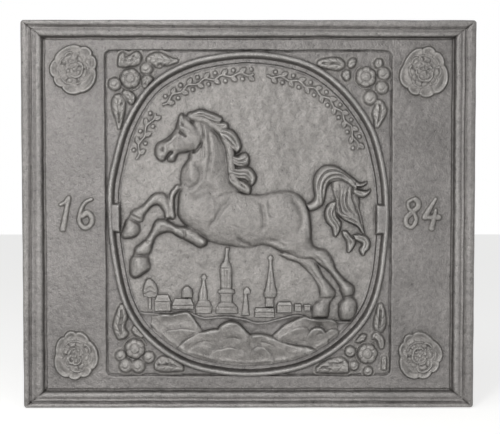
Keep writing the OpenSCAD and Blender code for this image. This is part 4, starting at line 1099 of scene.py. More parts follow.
# a leaf's ribs: share of the way along it, width, share of the rise
vineLeaf = ((0, 2.6, 0.6), (0.28, 8.2, 0.95), (0.56, 8.8, 1), (0.82, 5.4, 0.85), (1, 1.6, 0.5))
vineRuns = {"vine_left": (-0.73, -0.5), "vine_middle": (-0.44, 0.02), "vine_right": (0.09, 0.68)}
vineIn = oval["bandWide"] + vine["inFromBand"] + vine["high"] / 2
sideLen = (arcs["side"] - vineIn) * math.radians(oval["sideTurn"])
cornerLen = (arcs["corner"] - vineIn) * math.radians(oval["endTurn"] - oval["sideTurn"])
endLen = (arcs["end"] - vineIn) * math.radians(90 - oval["endTurn"])
quarterLen = sideLen + cornerLen + endLen


def vineTurn(d):
    # the oval's normal at the distance d along the band's middle line from its top, to the left below zero
    e = abs(d)
    turn = np.interp(e, [0, endLen, endLen + cornerLen, quarterLen],
                     [90, oval["endTurn"], oval["sideTurn"], 0])
    return float(180 - turn if d < 0 else turn)


def castVine(node, start, end):
    steps = round((end - start) * quarterLen / vine["pitch"]) * 2
    step = (end - start) * quarterLen / steps

    def along(i, inwards):
        x, z = ovalPoint(vineTurn(start * quarterLen + i * step), vineIn + inwards)
        return np.array([float(x), float(z)])

    def stem(i):
        return along(i, vine["high"] * vine["wave"] * math.sin(math.radians(90 * i)))

    corners = [along(i, side * vine["halfRoom"]) for i in range(steps + 1) for side in (-1, 1)]
    win = roomRound(np.min(corners, 0), np.max(corners, 0), vine["margin"], fineStep)
    line = [tuple(stem(i)) for i in range(steps + 1)]
    surface = rolled(win, line, vine["stem"], vine["rise"] * vine["stemRise"])
    for i in range(1, steps, 2):
        # a leaf on the side that the stem has swung to, and a berry on the other
        out = math.sin(math.radians(90 * i))
        a, b = stem(i), along(i + vine["leafOn"], vine["high"] * vine["leafOut"] * out)
        way = (b - a) / np.hypot(*(b - a))
        square = np.array([-way[1], way[0]])
        ribs = []
        for share, wide, full in vineLeaf:
            p = a + (b - a) * share
            ribs.append([*(p + square * wide / 2), *(p - square * wide / 2), full])
        leaf = carved(win, ribs, vine["rise"], 2.4, 1.6)
        scored(win, leaf, midrib(ribs), *vine["midrib"])
        surface = np.maximum(surface, leaf)
        berry = along(i + vine["berryOn"], -vine["high"] * vine["berryAt"] * out)
        surface = np.maximum(surface, domed(win, berry, vine["berry"], vine["rise"]))
    castRelief(node, win, melted(surface, 0.8), 0)


for name, run in vineRuns.items():
    castVine(name, *run)

print("stage: horse")

# Above ease the forms flatten, and none stands over most. Muscles and tooled lines are strengthened by swell
# and tool, and toolWide is the sand's rounding of a line. Two forms run into each other over join, and raised
# is how far a form stands before its neighbours.
horse = {"window": (-206, 124, 206, 474), "rise": 11.4, "swell": 1.9, "tool": 1.9, "toolWide": 0.4,
         "ease": 11.8, "most": 14.3, "join": 4, "kneeJoin": 1.5, "rootWide": 16, "rootRise": 10.8,
         "chestWide": 9, "chestRise": 6, "soft": 0.9, "lump": 0.12, "lumpLength": 16, "melt": 0.7,
         "meltBed": 0.1, "underBand": 1}
raised = {"head": 0.5, "ear": 1.0, "nearFore": 0.4, "farFore": -0.6, "farHind": -0.8}
horseForms = {
    "head": [
        [-99, 456, -70, 424, 0.9], [-109, 448, -73, 411, 1], [-112, 436, -82, 399, 1],
        [-117, 428, -96, 398, 0.92], [-125, 420, -108, 396, 0.82], [-133, 415, -111, 393, 0.78],
        [-140, 412, -116, 384, 0.76], [-144, 405, -127, 384, 0.7], [-145, 394, -138, 384.5, 0.5]],
    "neck": [
        [-90, 457, -84, 400, 0.9], [-68, 446, -91, 398, 0.95], [-51, 429, -95, 385, 1],
        [-39, 412, -104, 371, 1], [-32, 394, -106, 357, 1], [-28, 375, -106, 344, 1],
        [-26, 356, -108, 329, 1], [-14, 338, -109, 310, 1]],
    "trunk": [
        [-107, 338, -110, 300, 0.6], [-95, 348, -97, 284, 0.95], [-70, 354, -72, 267, 1],
        [-44, 346, -54, 257, 1], [-15, 338, -26, 252, 1], [12, 332, 0, 250, 0.95],
        [37, 336, 22, 254, 1], [60, 338, 50, 246, 1], [78, 331, 76, 240, 1],
        [90, 316, 94, 256, 0.9], [95, 296, 97, 272, 0.5]],
    "ear": [
        [-109, 436, -97, 439, 0.9], [-108.5, 445, -98, 445, 1], [-107.5, 452, -100, 450, 0.95],
        [-104, 457, -102.5, 457, 0.6]],
    "nearFore": [
        [-65, 263, -65, 255, 0.5], [-72, 268, -70, 252, 0.9], [-81, 276, -77, 250, 1],
        [-91, 281, -87, 256, 1], [-101, 282, -98, 262, 0.95], [-111, 283, -110, 268, 0.9],
        [-120, 288, -119, 273, 0.88], [-132, 294, -128, 274, 0.88], [-144, 291, -137, 271, 0.85],
        [-151, 276, -145, 265, 0.72], [-158, 265, -149, 256, 0.7], [-168, 256, -151, 248, 0.75],
        [-176, 249, -153, 242, 0.75], [-178, 240, -157, 237, 0.6], [-184, 232, -155, 230, 0.8],
        [-185, 220, -153, 218, 0.85], [-184, 209, -163, 209, 0.8], [-180, 203, -173, 203, 0.5]],
    "farFore": [
        [-130, 293, -120, 295, 0.6], [-131, 303, -120, 308, 0.65], [-135, 310, -122, 322, 0.7],
        [-140, 315, -128, 332, 0.75], [-145, 316, -139, 336, 0.75], [-151, 313, -150, 331, 0.75],
        [-157, 306, -160, 320, 0.65], [-162, 298, -169, 313, 0.65], [-164, 291, -181, 307, 0.7],
        [-171, 288, -186, 298, 0.55], [-169, 283, -191, 291, 0.75], [-169, 275, -195, 279, 0.8],
        [-174, 268, -199, 269, 0.75], [-184, 264, -195, 263, 0.5]],
    "nearHind": [
        [27, 260, 97, 263, 1], [41, 248, 101, 253, 0.98], [59, 241, 109, 248, 0.95],
        [77, 232, 119, 246, 0.9], [95, 233, 126, 239, 0.85], [105, 227, 131, 229, 0.82],
        [114, 220, 134, 219, 0.78], [123, 212, 139, 211, 0.72], [133, 200, 149, 200, 0.7],
        [139, 191, 160, 192, 0.72], [143, 182, 165, 185, 0.78], [148, 170, 163, 172, 0.6],
        [142, 164, 168, 166, 0.75], [140, 152, 169, 153, 0.8], [141, 142, 166, 142, 0.75],
        [145, 135, 160, 135, 0.5]],
    "farHind": [
        [44, 240, 58, 242, 0.5], [60, 232, 72, 238, 0.55], [77, 226, 90, 236, 0.6],
        [87, 217, 103, 231, 0.65], [96, 208, 111, 216, 0.62], [104, 197, 118, 203, 0.6],
        [109, 186, 127, 192, 0.62], [110, 175, 136, 179, 0.65], [107, 166, 130, 167, 0.5],
        [101, 161, 127, 162, 0.65], [98, 151, 126, 152, 0.7], [99, 140, 124, 140, 0.6]],
}
maneLocks = [
    [[-91, 455, -88, 449, 0.8], [-83, 459, -81, 451, 0.9], [-73, 462, -71, 450, 0.95],
     [-61, 458, -62.5, 446, 0.95], [-50, 454, -54, 443, 0.9], [-42, 449.5, -46, 442, 0.8],
     [-41, 445, -43, 442.5, 0.6]],
    [[-60, 446, -55, 431, 0.9], [-46, 443, -44, 430.5, 0.95], [-36, 442.5, -35, 432.5, 0.9],
     [-31, 438.5, -31, 435, 0.6]],
    [[-51, 434, -41, 418, 0.95], [-35, 433, -36, 412, 1], [-24, 429, -31, 406, 1],
     [-16.5, 419, -24, 401, 0.95], [-12.5, 407.5, -19, 398, 0.85], [-14.5, 400, -17, 397, 0.6]],
    [[-34, 402, -35, 386, 0.9], [-25, 393.5, -26, 380.5, 0.95], [-17.5, 391, -17.5, 376, 1],
     [-11, 395, -10, 375, 1], [-4, 395.5, -2, 377.5, 0.95], [1, 389.5, 1, 383, 0.7]],
    [[-33, 380, -33, 363, 0.9], [-19.5, 372.5, -20, 357.5, 0.95], [-6, 374.5, -8, 356, 1],
     [4.5, 370, -1, 353, 0.95], [10.5, 359, 2.5, 348.5, 0.85], [8, 348.5, 5.5, 346, 0.6]],
    [[-33, 366, -30, 351, 0.9], [-21, 357.5, -23, 344, 0.9], [-10, 353.5, -14, 337.5, 0.9],
     [-1, 348.5, -4, 333.5, 0.85], [4, 340, 2, 333, 0.6]],
]
maneLines = [
    (1.4, 2.8, [(-85, 454), (-73, 456), (-62, 453), (-52, 449), (-45, 447)]),
    (1.4, 2.6, [(-56, 440), (-46, 437), (-35, 437)]),
    (1.5, 2.8, [(-45, 428), (-33, 426), (-23, 418), (-17, 406)]),
    (1.5, 2.8, [(-38, 421), (-30, 414), (-21, 404)]),
    (1.5, 2.8, [(-30, 393), (-21, 386), (-12, 384), (-4, 387.5), (-2, 392)]),
    (1.4, 2.4, [(-28, 388), (-19, 381), (-9, 379)]),
    (1.5, 2.8, [(-28, 371), (-14, 367), (-3, 367), (5, 358)]),
    (1.4, 2.6, [(-26, 364), (-14, 361), (-4, 360), (2, 352)]),
    (1.5, 2.6, [(-27, 356), (-14, 349), (-2, 340)]),
]
# the crest of the neck, where the mane is rooted
maneRoot = [(-88, 452), (-79, 450), (-66, 446.5), (-54, 439), (-42, 430), (-35, 417), (-29, 402), (-28, 385),
            (-26, 370), (-23, 358), (-15, 346)]
tailLocks = [
    [[88, 317, 94, 306, 0.9], [97, 321, 107, 310, 0.9], [102, 330, 116, 318, 0.95], [100, 343, 119, 332, 1],
     [100, 353, 121, 342, 1], [103, 364, 125, 349, 1], [113, 375, 134, 352, 1], [126, 378, 143, 352, 1],
     [140, 374, 153, 348, 1], [155, 363, 161, 342, 0.95], [168, 353, 168, 336, 0.8]],
    [[160, 356, 161, 344, 0.9], [168, 352, 169, 343, 0.85], [175, 350, 176, 344, 0.8],
     [184, 353, 184, 349, 0.6]],
    [[162, 343, 160, 334, 0.85], [170, 340, 168, 329, 0.85], [177, 338, 177, 327, 0.8],
     [184, 338, 183, 330, 0.75], [189, 342, 189, 337, 0.55]],
    [[126, 355, 163, 353, 0.5], [129, 337, 170, 332, 0.7], [134, 324, 172.5, 322, 0.75],
     [135, 314, 172, 312, 0.75], [136, 303, 175, 300, 0.75], [149, 292, 178, 287, 0.7],
     [168, 284, 180, 275, 0.65], [174, 274, 182, 268, 0.5]],
    [[133, 322, 137, 321, 0.6], [123, 317, 136, 312, 0.75], [117.5, 304, 137, 299, 0.8],
     [120, 291, 144, 289, 0.8], [128, 281, 143, 279, 0.75], [131, 271, 139, 271, 0.65],
     [133, 266, 135, 266, 0.5]],
    [[144, 276, 152, 276, 0.6], [146, 267.5, 161, 266, 0.75], [151, 260, 167, 259, 0.75],
     [152, 250, 163, 249, 0.7], [153, 242, 156, 241, 0.5]],
    [[161, 270, 165, 262, 0.65], [172, 271, 172, 258, 0.75], [183, 268, 176, 255, 0.8],
     [189, 259, 175, 252, 0.8], [188, 248, 172, 248, 0.75], [182, 243, 173, 243, 0.7],
     [180, 237, 177, 236.5, 0.5]],
]
# tooled lines on the horse: width, depth (a ridge below zero), line
horseLines = [
    (3.4, 1.3, [(-21, 331), (-36, 316), (-47, 303), (-51, 294), (-60, 284), (-61, 272)]),
    (7.0, 1.8, [(-92, 322), (-80, 333), (-66, 340), (-45, 332)]),
    (3.0, 1.3, [(18, 325), (23, 301), (23, 281), (18, 273)]),
    (3.0, 1.0, [(31, 327), (34, 301), (46, 299)]),
    (3.2, 1.2, [(-105, 338), (-90, 342), (-79, 348), (-74.5, 358), (-75, 370), (-82, 381), (-90, 387)]),
    (3.0, 0.8, [(-74, 372), (-71, 390), (-70, 410), (-73, 432)]),
    (2.6, 1.2, [(-65, 437), (-60, 415), (-60, 385), (-66, 352)]),
    (2.0, 2.2, [(-72, 442), (-70, 424), (-73, 410), (-82, 400), (-92, 397)]),
    # eye and brow, cheek, nose, nostril, mouth and lips, ear, forelock, throat
    (1.5, 2.4, [(-109, 431), (-102, 425), (-94, 420)]),
    (2.4, -1.6, [(-107, 438), (-97, 432), (-89, 425)]),
    (1.2, -1.4, [(-104, 424), (-99, 421)]),
    (3.4, 0.7, [(-107, 419), (-112, 411), (-110, 401)]),
    (2.4, -1.4, [(-110, 425), (-121, 415), (-131, 409)]),
    (2.0, 1.6, [(-134.5, 406), (-133.5, 402), (-135, 398)]),
    (1.5, -0.9, [(-130, 408), (-127.5, 402), (-130, 396)]),
    (1.8, 4.2, [(-129.5, 381), (-127, 388), (-122, 395), (-115, 399)]),
    (1.3, 0.9, [(-141, 392), (-136, 390), (-130, 389)]),
    (1.5, 2.2, [(-105, 453), (-103.5, 445), (-101, 438)]),
    (1.8, 1.0, [(-98, 450), (-90, 447), (-82.5, 439), (-78, 429)]),
    (1.3, -1.5, [(-72, 440), (-71, 420), (-70, 399), (-71, 380)]),
    (1.8, 1.5, [(-118, 420), (-128, 414)]),
    (2.4, 1.6, [(-20, 268), (-10, 258), (8, 252)]),
    (5.0, 1.4, [(62, 330), (78, 312), (82, 290), (74, 268)]),
    (3.0, 1.2, [(27, 262), (44, 258), (60, 250)]),
    (1.6, 1.6, [(-103, 262), (-98, 270), (-101, 279)]),
    (1.6, 1.4, [(-153, 257), (-163, 263)]), (1.6, 1.6, [(-179, 239), (-156, 236)]),
    (1.5, 1.4, [(-164, 292), (-184, 301)]), (1.5, 1.4, [(-170, 287), (-187, 297)]),
    (1.6, 1.6, [(147, 172), (164, 174)]), (1.8, 1.4, [(108, 170), (131, 171)]),
    (2.4, 1.2, [(98, 243), (112, 228), (128, 206), (140, 190), (150, 178)]),
    (1.6, 1.0, [(92, 222), (104, 205), (116, 188)]),
    (4.0, 1.3, [(-140, 282), (-126, 280), (-112, 274)]),
]
tailLines = [
    (1.5, 3.0, [(110, 320), (107, 341), (110, 355), (118, 366), (130, 370), (143, 368), (155, 359),
                (166, 348)]),
    (1.5, 3.0, [(115, 321), (114, 337), (117, 351), (126, 360.5), (140, 362.5), (152, 357), (161, 348)]),
    (1.3, 1.6, [(120, 345), (127, 354), (140, 356), (152, 351)]),
    (1.4, 2.4, [(123, 341), (129, 337), (132, 327), (136, 323)]),
    (1.4, 2.8, [(141, 347), (140, 325), (141, 314), (145, 303), (155, 298)]),
    (1.4, 2.8, [(155, 343), (151, 324), (155, 310), (165, 301)]),
    (1.4, 2.6, [(161, 341), (161, 325), (165, 316), (168, 304)]),
    (1.3, 2.2, [(136, 341), (136, 331), (139, 322)]),
    (1.3, 2.4, [(148, 338), (145, 322), (150, 308), (159, 300)]),
    (1.4, 2.4, [(168, 312), (172, 299), (176, 283)]),
    (1.4, 2.4, [(147, 297), (160, 293), (172, 285)]),
    (1.4, 2.6, [(130, 317), (125, 304), (129, 292), (136, 283), (136, 272)]),
    (1.4, 2.4, [(134, 311), (131, 300), (138, 289), (141, 282)]),
    (1.4, 2.4, [(148, 273), (157, 262), (159, 252)]),
    (1.4, 2.4, [(165, 267), (178, 264), (183, 256), (178, 245)]),
    (1.3, 1.8, [(165, 349), (176, 348)]), (1.3, 1.8, [(167, 336), (178, 333)]),
]
# the far edge of the chest, which shows as a low strip
chestLine = [(-110, 343), (-119, 330), (-120, 312), (-118, 298)]
# muscles that swell out of the body: place, radius, height
horseSwells = [
    ((-88, 418), 12, 2.2), ((-83, 306), 24, 1.8), ((-62, 320), 14, 0.9), ((-89, 360), 10, 1.8),
    ((-88, 376), 9, 1.2), ((-66, 430), 9, 1.1), ((-62, 404), 9, 1.2), ((-58, 376), 10, 1.2),
    ((-44, 345), 12, 1.0), ((-32, 300), 18, 1.0), ((-4, 293), 24, 1.2), ((38, 290), 14, 0.8),
    ((68, 294), 27, 1.9), ((84, 262), 15, 1.2), ((60, 252), 12, 1.0), ((-70, 259), 6, 1.6),
    ((-132.5, 404), 5, 0.6), ((-137, 390), 5.5, 1.5), ((-117.5, 390), 5.5, 1.5), ((-107, 437), 5, 1.2),
    ((-104, 452), 5, 0.8), ((-135, 283), 9, 0.9), ((-174, 246), 8, 1.0), ((-168, 222), 10, 1.2),
    ((152, 183), 8, 1.0), ((120, 180), 8, 0.9), ((153, 152), 11, 1.4), ((112, 151), 10, 1.2),
    ((-183, 276), 9, 1.1), ((-150, 324), 8, 0.8),
]
# the mane and the tail: fuller is added to each lock's width, and every other lock lies lower
hairs = {
    "mane": {"locks": maneLocks, "lines": maneLines, "rise": 13.4, "fuller": 3.6},
    "tail": {"locks": tailLocks, "lines": tailLines, "rise": 12, "fuller": 0},
}
hairForm = {"margin": 6, "lower": 0.8, "parting": 1.1, "partingWide": 0.8, "gap": 4, "gapDepth": 1.5,
            "melt": 1.1, "meltBed": 0.1}


def tooled(surface, win):
    # the muscles and lines that all pieces of the horse share
    for (x, z), radius, height in horseSwells:
        swell = np.exp(-((win["x"] - x) ** 2 + (win["z"] - z) ** 2) / radius ** 2)
        surface += horse["swell"] * height * swell * (surface > 0)
    for width, depth, line in horseLines:
        scored(win, surface, line, width + horse["toolWide"], depth * horse["tool"])


def castHair(node, hair):
    # locks of ropy strands, cut finer than the body
    locks = [[fuller(rib, hair["fuller"]) + [rib[4]] for rib in lock] for lock in hair["locks"]]
    spots = [rib[k:k + 2] for lock in locks for rib in lock for k in (0, 2)]
    win = roomRound(np.min(spots, 0), np.max(spots, 0), hairForm["margin"], fineStep)
    surface = np.full(win["x"].shape, outside)
    for k, lock in enumerate(locks):
        shape = carved(win, lock, hair["rise"], 2.0, 3) - hairForm["lower"] * (k % 2)
        # a dark parting where one lock lies over the next
        parting = np.exp(-((surface - shape) / hairForm["partingWide"]) ** 2) * (surface > 1) * (shape > 1)
        surface = np.maximum(surface, shape) - hairForm["parting"] * parting
    # sand fills the narrow gaps between locks
    filled = softened(np.maximum(surface, 0), hairForm["gap"]) - hairForm["gapDepth"]
    surface = np.maximum(surface, filled)
    for width, depth, line in hair["lines"]:
        scored(win, surface, line, width, depth, 0.5)
    castRelief(node, win, melted(surface, hairForm["melt"], hairForm["meltBed"]), 0)


def castHorse():
    win = window(*horse["window"], 1)
    form = {name: carved(win, ribs, horse["rise"], 2.1) + raised.get(name, 0)
            for name, ribs in horseForms.items()}
    body = flowing(form["neck"], form["trunk"], horse["join"])
    root = rolled(win, maneRoot, horse["rootWide"], horse["rootRise"])
    chest = rolled(win, chestLine, horse["chestWide"], horse["chestRise"])
    for other in (form["head"], form["ear"], root, chest):
        body = np.maximum(body, other)
    parts = {"horse_body": body, "near_foreleg": form["nearFore"], "far_foreleg": form["farFore"],
             "near_hind_leg": form["nearHind"], "far_hind_leg": form["farHind"]}
    owner = np.argmax(np.stack(list(parts.values())), 0)
    top = np.maximum(flowing(body, form["nearHind"], horse["join"]),
                     flowing(body, form["nearFore"], horse["kneeJoin"]))
    top = np.maximum(np.maximum(top, form["farFore"]), form["farHind"])
    top = softened(top, horse["soft"])
    tooled(top, win)
    lumps = horse["lump"] * waves(win["x"], win["z"], horse["lumpLength"], 15) * (top > 0)
    top = melted(top + lumps, horse["melt"], horse["meltBed"])
    over = np.maximum(top - horse["ease"], 0)
    room = horse["most"] - horse["ease"]
    top = top - over + room * np.tanh(over / room)
    top = np.where(ovalDepth(win["x"], win["z"]) < oval["bandWide"] - horse["underBand"], 0, top)
    # each piece has the cells that it stands highest in, so that neighbours share their edges
    cellOwner = owner[:-1, :-1]
    for k, name in enumerate(parts):
        castRelief(name, win, top, 0, only=cellOwner == k)


castHorse()
for name, hair in hairs.items():
    castHair(name, hair)

print("stage: ground, hills and town")

groundLine = [(-170, 150), (-146, 148), (-120, 147), (-97, 151), (-83, 146), (-68, 141), (-35, 143),
              (-5, 139), (10, 134), (30, 135), (50, 140), (75, 145), (88, 143), (98, 139), (128, 138.5),
              (138, 135), (170, 135)]
# each hill is a crest that the ground falls away from, over what lies behind it: rise, reach of its slope,
# crest
hills = {
    "hill_left": [
        (2.8, 20, [(-152, 142), (-135, 146), (-118, 146), (-98, 150), (-90, 146), (-82, 134), (-70, 118)]),
        (2.6, 20, [(-134, 115), (-125, 121), (-105, 124), (-90, 123.5), (-75, 117), (-64, 111)])],
    "mound": [
        (5.2, 34, [(-52, 114), (-49, 122), (-44, 129), (-33, 134), (-25, 134.5), (-15, 131.5), (-4, 121),
                   (6, 112)]),
        (2.2, 14, [(-44, 111), (-36, 115), (-24, 117), (-13, 113), (-4, 105)])],
    "hill_right": [
        (2.8, 26, [(34, 110), (44, 119), (52, 126), (63, 133), (83, 141), (96, 144), (112, 145)]),
        (3.2, 22, [(38, 106), (50, 114), (60, 120), (72, 125), (86, 127), (98, 121)])],
    "knolls": [
        (3.8, 24, [(-112, 94), (-102, 103), (-92, 111), (-75, 118), (-56, 123), (-44, 122), (-34, 112)]),
        (4.0, 24, [(-4, 110), (5, 115), (20, 115), (35, 112), (50, 104), (68, 98), (92, 95), (108, 88)]),
        (3.8, 18, [(0, 80), (6, 92), (15, 97), (25, 95), (34, 86), (42, 77)]),
        (2.8, 16, [(-66, 78), (-54, 89), (-41, 93), (-27, 95), (-12, 91), (2, 82)]),
        (2.4, 16, [(-100, 84), (-88, 95), (-74, 99), (-60, 97), (-48, 88)])],
    "rocks": [
        (5.0, 14, [(86, 104), (92, 117), (101, 125), (112, 126), (120, 118), (126, 106)]),
        (4.4, 12, [(96, 132), (104, 139), (118, 140), (131, 138), (140, 130)]),
        (3.4, 12, [(116, 112), (124, 121), (134, 124), (142, 118)])],
}
hillLines = [
    (1.4, 0.9, [(-84, 100), (-70, 104), (-56, 102)]), (1.4, 0.9, [(16, 104), (30, 101), (42, 95)]),
    (1.4, 0.9, [(-36, 107), (-24, 110), (-14, 107)]), (1.3, 0.8, [(104, 112), (112, 116), (122, 113)]),
]
# a crest strays from its line, rises from it over crest, and fades at its ends over endFade
hillSlope = {"crest": 2.4, "endFade": 11, "lift": 2.1, "stray": 0.9, "strayLength": 26, "lump": 0.7,
             "lumpLength": 28, "fine": 0.1, "fineLength": 9, "uneven": 0.4, "shownFrom": 0.12, "over": 0.06}
# the ground swells, dips behind its upper lip, and is heaped into a bank along the band; a name in In is how
# far in from the ground's top edge, or from the band
groundForm = {"window": (-206, 44, 206, 158), "swell": 0.7, "swellLength": 44, "fine": 0.35, "fineLength": 17,
              "swellGrows": 12, "valley": 1.5, "valleyIn": 10, "valleyWide": 9, "lip": 1.5, "lipIn": 2,
              "lipWide": 1.7, "edge": 1, "edgeSlope": 2.2, "bank": 1.2, "bankIn": 3, "bankWide": 2.2,
              "bankLength": 40, "soft": 0.8, "underBand": 3, "hillsUnderBand": 2}


def groundHeight(win):
    form, x, z = groundForm, win["x"], win["z"]
    line = smoothRows(groundLine, 6)
    under = np.interp(x, line[:, 0], line[:, 1]) - z
    depth = ovalDepth(x, z) - oval["bandWide"]
    swell = form["swell"] * waves(x, z * 1.6, form["swellLength"], 16) \
        + form["fine"] * waves(x, z * 1.6, form["fineLength"], 17)
    flat = levels["ground"] + swell * np.clip(under / form["swellGrows"], 0, 1)
    flat = flat - form["valley"] * np.exp(-((under - form["valleyIn"]) / form["valleyWide"]) ** 2)
    lip = form["lip"] * np.exp(-((under - form["lipIn"]) / form["lipWide"]) ** 2)
    inBank = depth - form["bankIn"] - waves(x, z, form["bankLength"], 27)
    bank = form["bank"] * np.exp(-(inBank / form["bankWide"]) ** 2)
    flat = np.minimum(flat, form["edge"] + form["edgeSlope"] * under)
    surface = np.where(under > 0, flat + lip + bank, fall * under)
    return softened(np.maximum(surface, outside), form["soft"]), under, depth


def crestHeight(win, rise, reach, points):
    line = smoothRows(points, 6)
    x, z = win["x"], win["z"]
    z = z + hillSlope["stray"] * waves(x, z * 0.2, hillSlope["strayLength"], 28)
    below = np.interp(x, line[:, 0], line[:, 1]) - z
    fade = np.clip(np.minimum(x - line[0, 0], line[-1, 0] - x) / hillSlope["endFade"], 0, 1)
    lift = np.sqrt(1 - (1 - np.clip(below / hillSlope["crest"], 0, 1)) ** 2)
    return hillSlope["lift"] * rise * fade ** 0.7 * lift * np.exp(-(np.maximum(below, 0) / reach) ** 1.5)


def castGroundAndHills():
    win = window(*groundForm["window"], 1)
    ground, under, depth = groundHeight(win)
    layers = [np.max([crestHeight(win, *crest) for crest in crests], 0) for crests in hills.values()]
    highest = softened(np.max(layers, 0), groundForm["soft"]) * (under > 0)
    lumps = hillSlope["lump"] * waves(win["x"], win["z"] * 1.3, hillSlope["lumpLength"], 29) \
        + hillSlope["fine"] * waves(win["x"], win["z"], hillSlope["fineLength"], 30)
    top = ground + highest * (1 + hillSlope["uneven"] * lumps)
    for width, deep, line in hillLines:
        scored(win, top, line, width, deep)
    ground = np.where(depth < -groundForm["underBand"], outside, ground)
    castRelief("ground", win, ground, 0, "cast_iron_board")
    owner = np.argmax(np.stack(layers), 0)[:-1, :-1]
    shown = (highest > hillSlope["shownFrom"]) & (depth > -groundForm["hillsUnderBand"])
    top = np.where(shown, np.maximum(top, ground + hillSlope["over"]), outside)
    for k, name in enumerate(hills):
        castRelief(name, win, top, 0, only=owner == k)


castGroundAndHills()

# a building is a stack of level bars [middle x, z, width, share of the rise], a house is a box and a roof
buildings = {
    "tree": [[-154, 153, 6, 0.4], [-154, 172, 6, 0.4], [-153, 172.5, 22, 0.7], [-153, 183, 25, 0.9],
             [-153, 191, 21, 0.9], [-154, 198, 13, 0.8], [-155, 202, 4, 0.4]],
    "left_spire": [[-70, 146, 26, 0.6], [-70, 157, 28, 0.7], [-70, 167, 18, 0.8], [-71, 168, 15, 0.8],
                   [-71, 178, 14, 0.8], [-70, 190, 8, 0.7], [-70, 198, 5, 0.6], [-69.5, 199, 8, 0.6],
                   [-69.5, 203, 11, 0.7], [-69.5, 208, 5, 0.4]],
    "tall_tower": [[-34, 146, 36, 0.6], [-34, 156, 34, 0.7], [-35, 163, 24, 0.8], [-35, 164, 20, 0.8],
                   [-35, 176, 20, 0.8], [-35, 179, 28, 0.95], [-35, 184, 26, 0.95], [-35, 186, 18, 0.9],
                   [-35, 218, 20, 1], [-35, 223, 17, 0.9], [-34.5, 229, 9, 0.8], [-34, 240, 6, 0.6],
                   [-33, 250, 8, 0.4]],
    "small_tower": [[-5, 143, 14, 0.5], [-5, 163, 9, 0.5], [-5, 176, 6, 0.5], [-3, 177, 13, 0.6],
                    [-3, 183, 12, 0.6], [-3, 188, 4, 0.4]],
    "right_spire": [[33, 156.5, 15, 0.7], [33, 171, 15, 0.7], [33.5, 172, 19, 0.85], [34, 178, 22, 0.9],
                    [34, 190, 15, 0.85], [34, 205, 10, 0.75], [34, 220, 6, 0.65], [34, 230, 6, 0.6],
                    [34, 231, 9, 0.6], [34, 235, 9, 0.6], [34, 238, 4, 0.4]],
    "domed_house": [[-96, 171.2, 18, 0.8], [-96, 179, 20, 0.9], [-96, 185, 16, 0.9], [-96, 190, 5, 0.5]],
}
houses = {
    "houses": [(-147, -121, 150, 165, 177, 5)],
    "domed_house": [(-120, -85, 153, 159, 171, 5)],
    "town_wall": [(9, 41, 140, 148, 156, 2)],
    "cottages": [(44, 68, 147, 158, 165, 3), (71, 83, 149, 157, 162, 2), (86, 97, 150, 157, 161, 1)],
}
townLines = [
    (1.0, 1.2, [(-46, 178), (-24, 178)]), (1.0, 1.2, [(-45, 186), (-25, 186)]),
    (1.0, 1.0, [(-45, 218), (-25, 218)]), (1.0, 1.0, [(-44, 164), (-26, 164)]),
    (1.0, 1.0, [(-49, 156), (-20, 156)]), (1.0, 1.0, [(-79, 167), (-62, 167)]),
    (1.0, 1.0, [(-83, 157), (-58, 157)]), (1.0, 1.0, [(26, 171), (41, 171)]),
    (0.9, 0.9, [(-37, 190), (-37, 214)]), (0.9, 0.9, [(-33, 190), (-33, 214)]),
    (1.0, 0.9, [(34, 182), (34, 212)]), (1.0, 0.9, [(-71, 170), (-70, 190)]),
    (1.2, 1.0, [(-160, 184), (-153, 188), (-146, 184)]), (1.2, 1.0, [(-162, 177), (-153, 181), (-145, 177)]),
]
# a wall and a roof each rise from their edge to their own height
townForm = {"margin": 5, "rise": 6, "fullness": 3.2, "ends": 1.2, "wallHigh": 3.6, "wallEdge": 1.5,
            "wallSlope": 2.5, "wallUnderRoof": 0.5, "roofHigh": 4.8, "roofEdge": 1.8, "roofSlope": 2.6,
            "eavesOut": 0.8, "soft": 0.8, "melt": 0.6}


def houseHeight(win, house):
    x1, x2, foot, eaves, ridge, hip = house
    form, x, z = townForm, win["x"], win["z"]
    wall = np.minimum(np.minimum(x - x1, x2 - x), np.minimum(z - foot, eaves + form["wallUnderRoof"] - z))
    lean, out = np.clip((z - eaves) / (ridge - eaves), 0, 1) * hip, form["eavesOut"]
    roof = np.minimum(np.minimum(x - x1 + out - lean, x2 + out - lean - x), np.minimum(z - eaves, ridge - z))
    wallTop = np.minimum(form["wallHigh"], form["wallEdge"] + form["wallSlope"] * wall)
    roofTop = np.minimum(form["roofHigh"], form["roofEdge"] + form["roofSlope"] * roof)
    wallTop, roofTop = np.where(wall > 0, wallTop, fall * wall), np.where(roof > 0, roofTop, fall * roof)
    return np.maximum(np.maximum(wallTop, roofTop), outside)


def castTown(node):
    form = townForm
    spots = [(b[0] + s * b[2] / 2, b[1]) for b in buildings.get(node, []) for s in (-1, 1)]
    spots += [(h[k], z) for h in houses.get(node, []) for k in (0, 1) for z in (h[2], h[4])]
    win = roomRound(np.min(spots, 0), np.max(spots, 0), form["margin"], fineStep)
    surface = np.full(win["x"].shape, outside)
    if node in buildings:
        ribs = [[b[0] - b[2] / 2, b[1], b[0] + b[2] / 2, b[1], b[3]] for b in buildings[node]]
        building = carved(win, ribs, form["rise"], form["fullness"], form["ends"], straightRows)
        surface = np.maximum(surface, building)
    for house in houses.get(node, []):
        surface = np.maximum(surface, houseHeight(win, house))
    surface = softened(surface, form["soft"])
    for width, depth, line in townLines:
        scored(win, surface, line, width, depth, 1)
    castRelief(node, win, softened(surface, form["melt"]), 0)


for name in ("tree", "houses", "domed_house", "left_spire", "tall_tower", "small_tower", "right_spire",
             "town_wall", "cottages"):
    castTown(name)

print("stage: hollows and high edges")

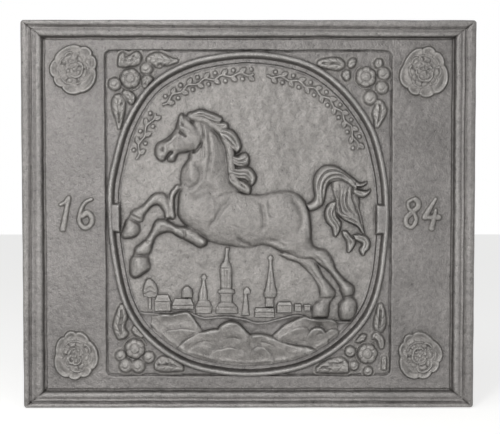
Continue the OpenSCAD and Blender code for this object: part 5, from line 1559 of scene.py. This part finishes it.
# how far a spot lies under or over its surroundings, and how steep it is, for the polish left in hollows and
# rubbed off edges, and for painted shade in hollows and on steep slopes and painted highlights on high edges;
# the last three are the shares of its near and wide surroundings and of its slope
wearAndShade = {"near": 1.9, "wide": 7.0, "nearDepth": 1.1, "wideDepth": 4.5, "steep": 1.8, "gentle": 0.12,
        "front": 1.2, "nearShare": 0.5, "wideShare": 0.35, "steepShare": 0.4}
nearBy, wideBy = softened(skyline, wearAndShade["near"]) - skyline, softened(skyline, wearAndShade["wide"]) - skyline
slopeUp, slopeAcross = np.gradient(softened(skyline, 1.0))
# painted shade: steep slopes are darkened as if they turned away from the light
steep = np.clip(np.hypot(slopeUp, slopeAcross) / wearAndShade["steep"] - wearAndShade["gentle"], 0, 1)
reliefMap = wearAndShade["nearShare"] * nearBy / wearAndShade["nearDepth"] + wearAndShade["wideShare"] * wideBy / wearAndShade["wideDepth"]
reliefMap = np.clip(reliefMap + wearAndShade["steepShare"] * steep, -1, 1)


def shadeByRelief(piece):
    mesh = piece.data
    spots = np.empty(len(mesh.vertices) * 3, np.float32)
    mesh.vertices.foreach_get("co", spots)
    spots = spots.reshape(-1, 3) / mm
    i = np.clip(spots[:, 0] + plate["halfWidth"], 0, 2 * plate["halfWidth"] - 0.1)
    j = np.clip(spots[:, 2], 0, plate["height"] - 0.1)
    i0, j0 = i.astype(int), j.astype(int)
    fi, fj = i - i0, j - j0
    value = (reliefMap[j0, i0] * (1 - fi) + reliefMap[j0, i0 + 1] * fi) * (1 - fj) \
        + (reliefMap[j0 + 1, i0] * (1 - fi) + reliefMap[j0 + 1, i0 + 1] * fi) * fj
    value[spots[:, 1] > plate["faceY"] + wearAndShade["front"]] = 0  # the sides and the back don't take part
    # the painted shade and highlights, with the polish and its wear, go onto every point of the face
    layer = mesh.attributes.new("relief", "FLOAT", "POINT")
    layer.data.foreach_set("value", value.astype(np.float32))


for piece in castPieces:
    shadeByRelief(piece)

print("stage: finished,", len(castPieces), "pieces,", sum(len(p.data.polygons) for p in castPieces), "faces")
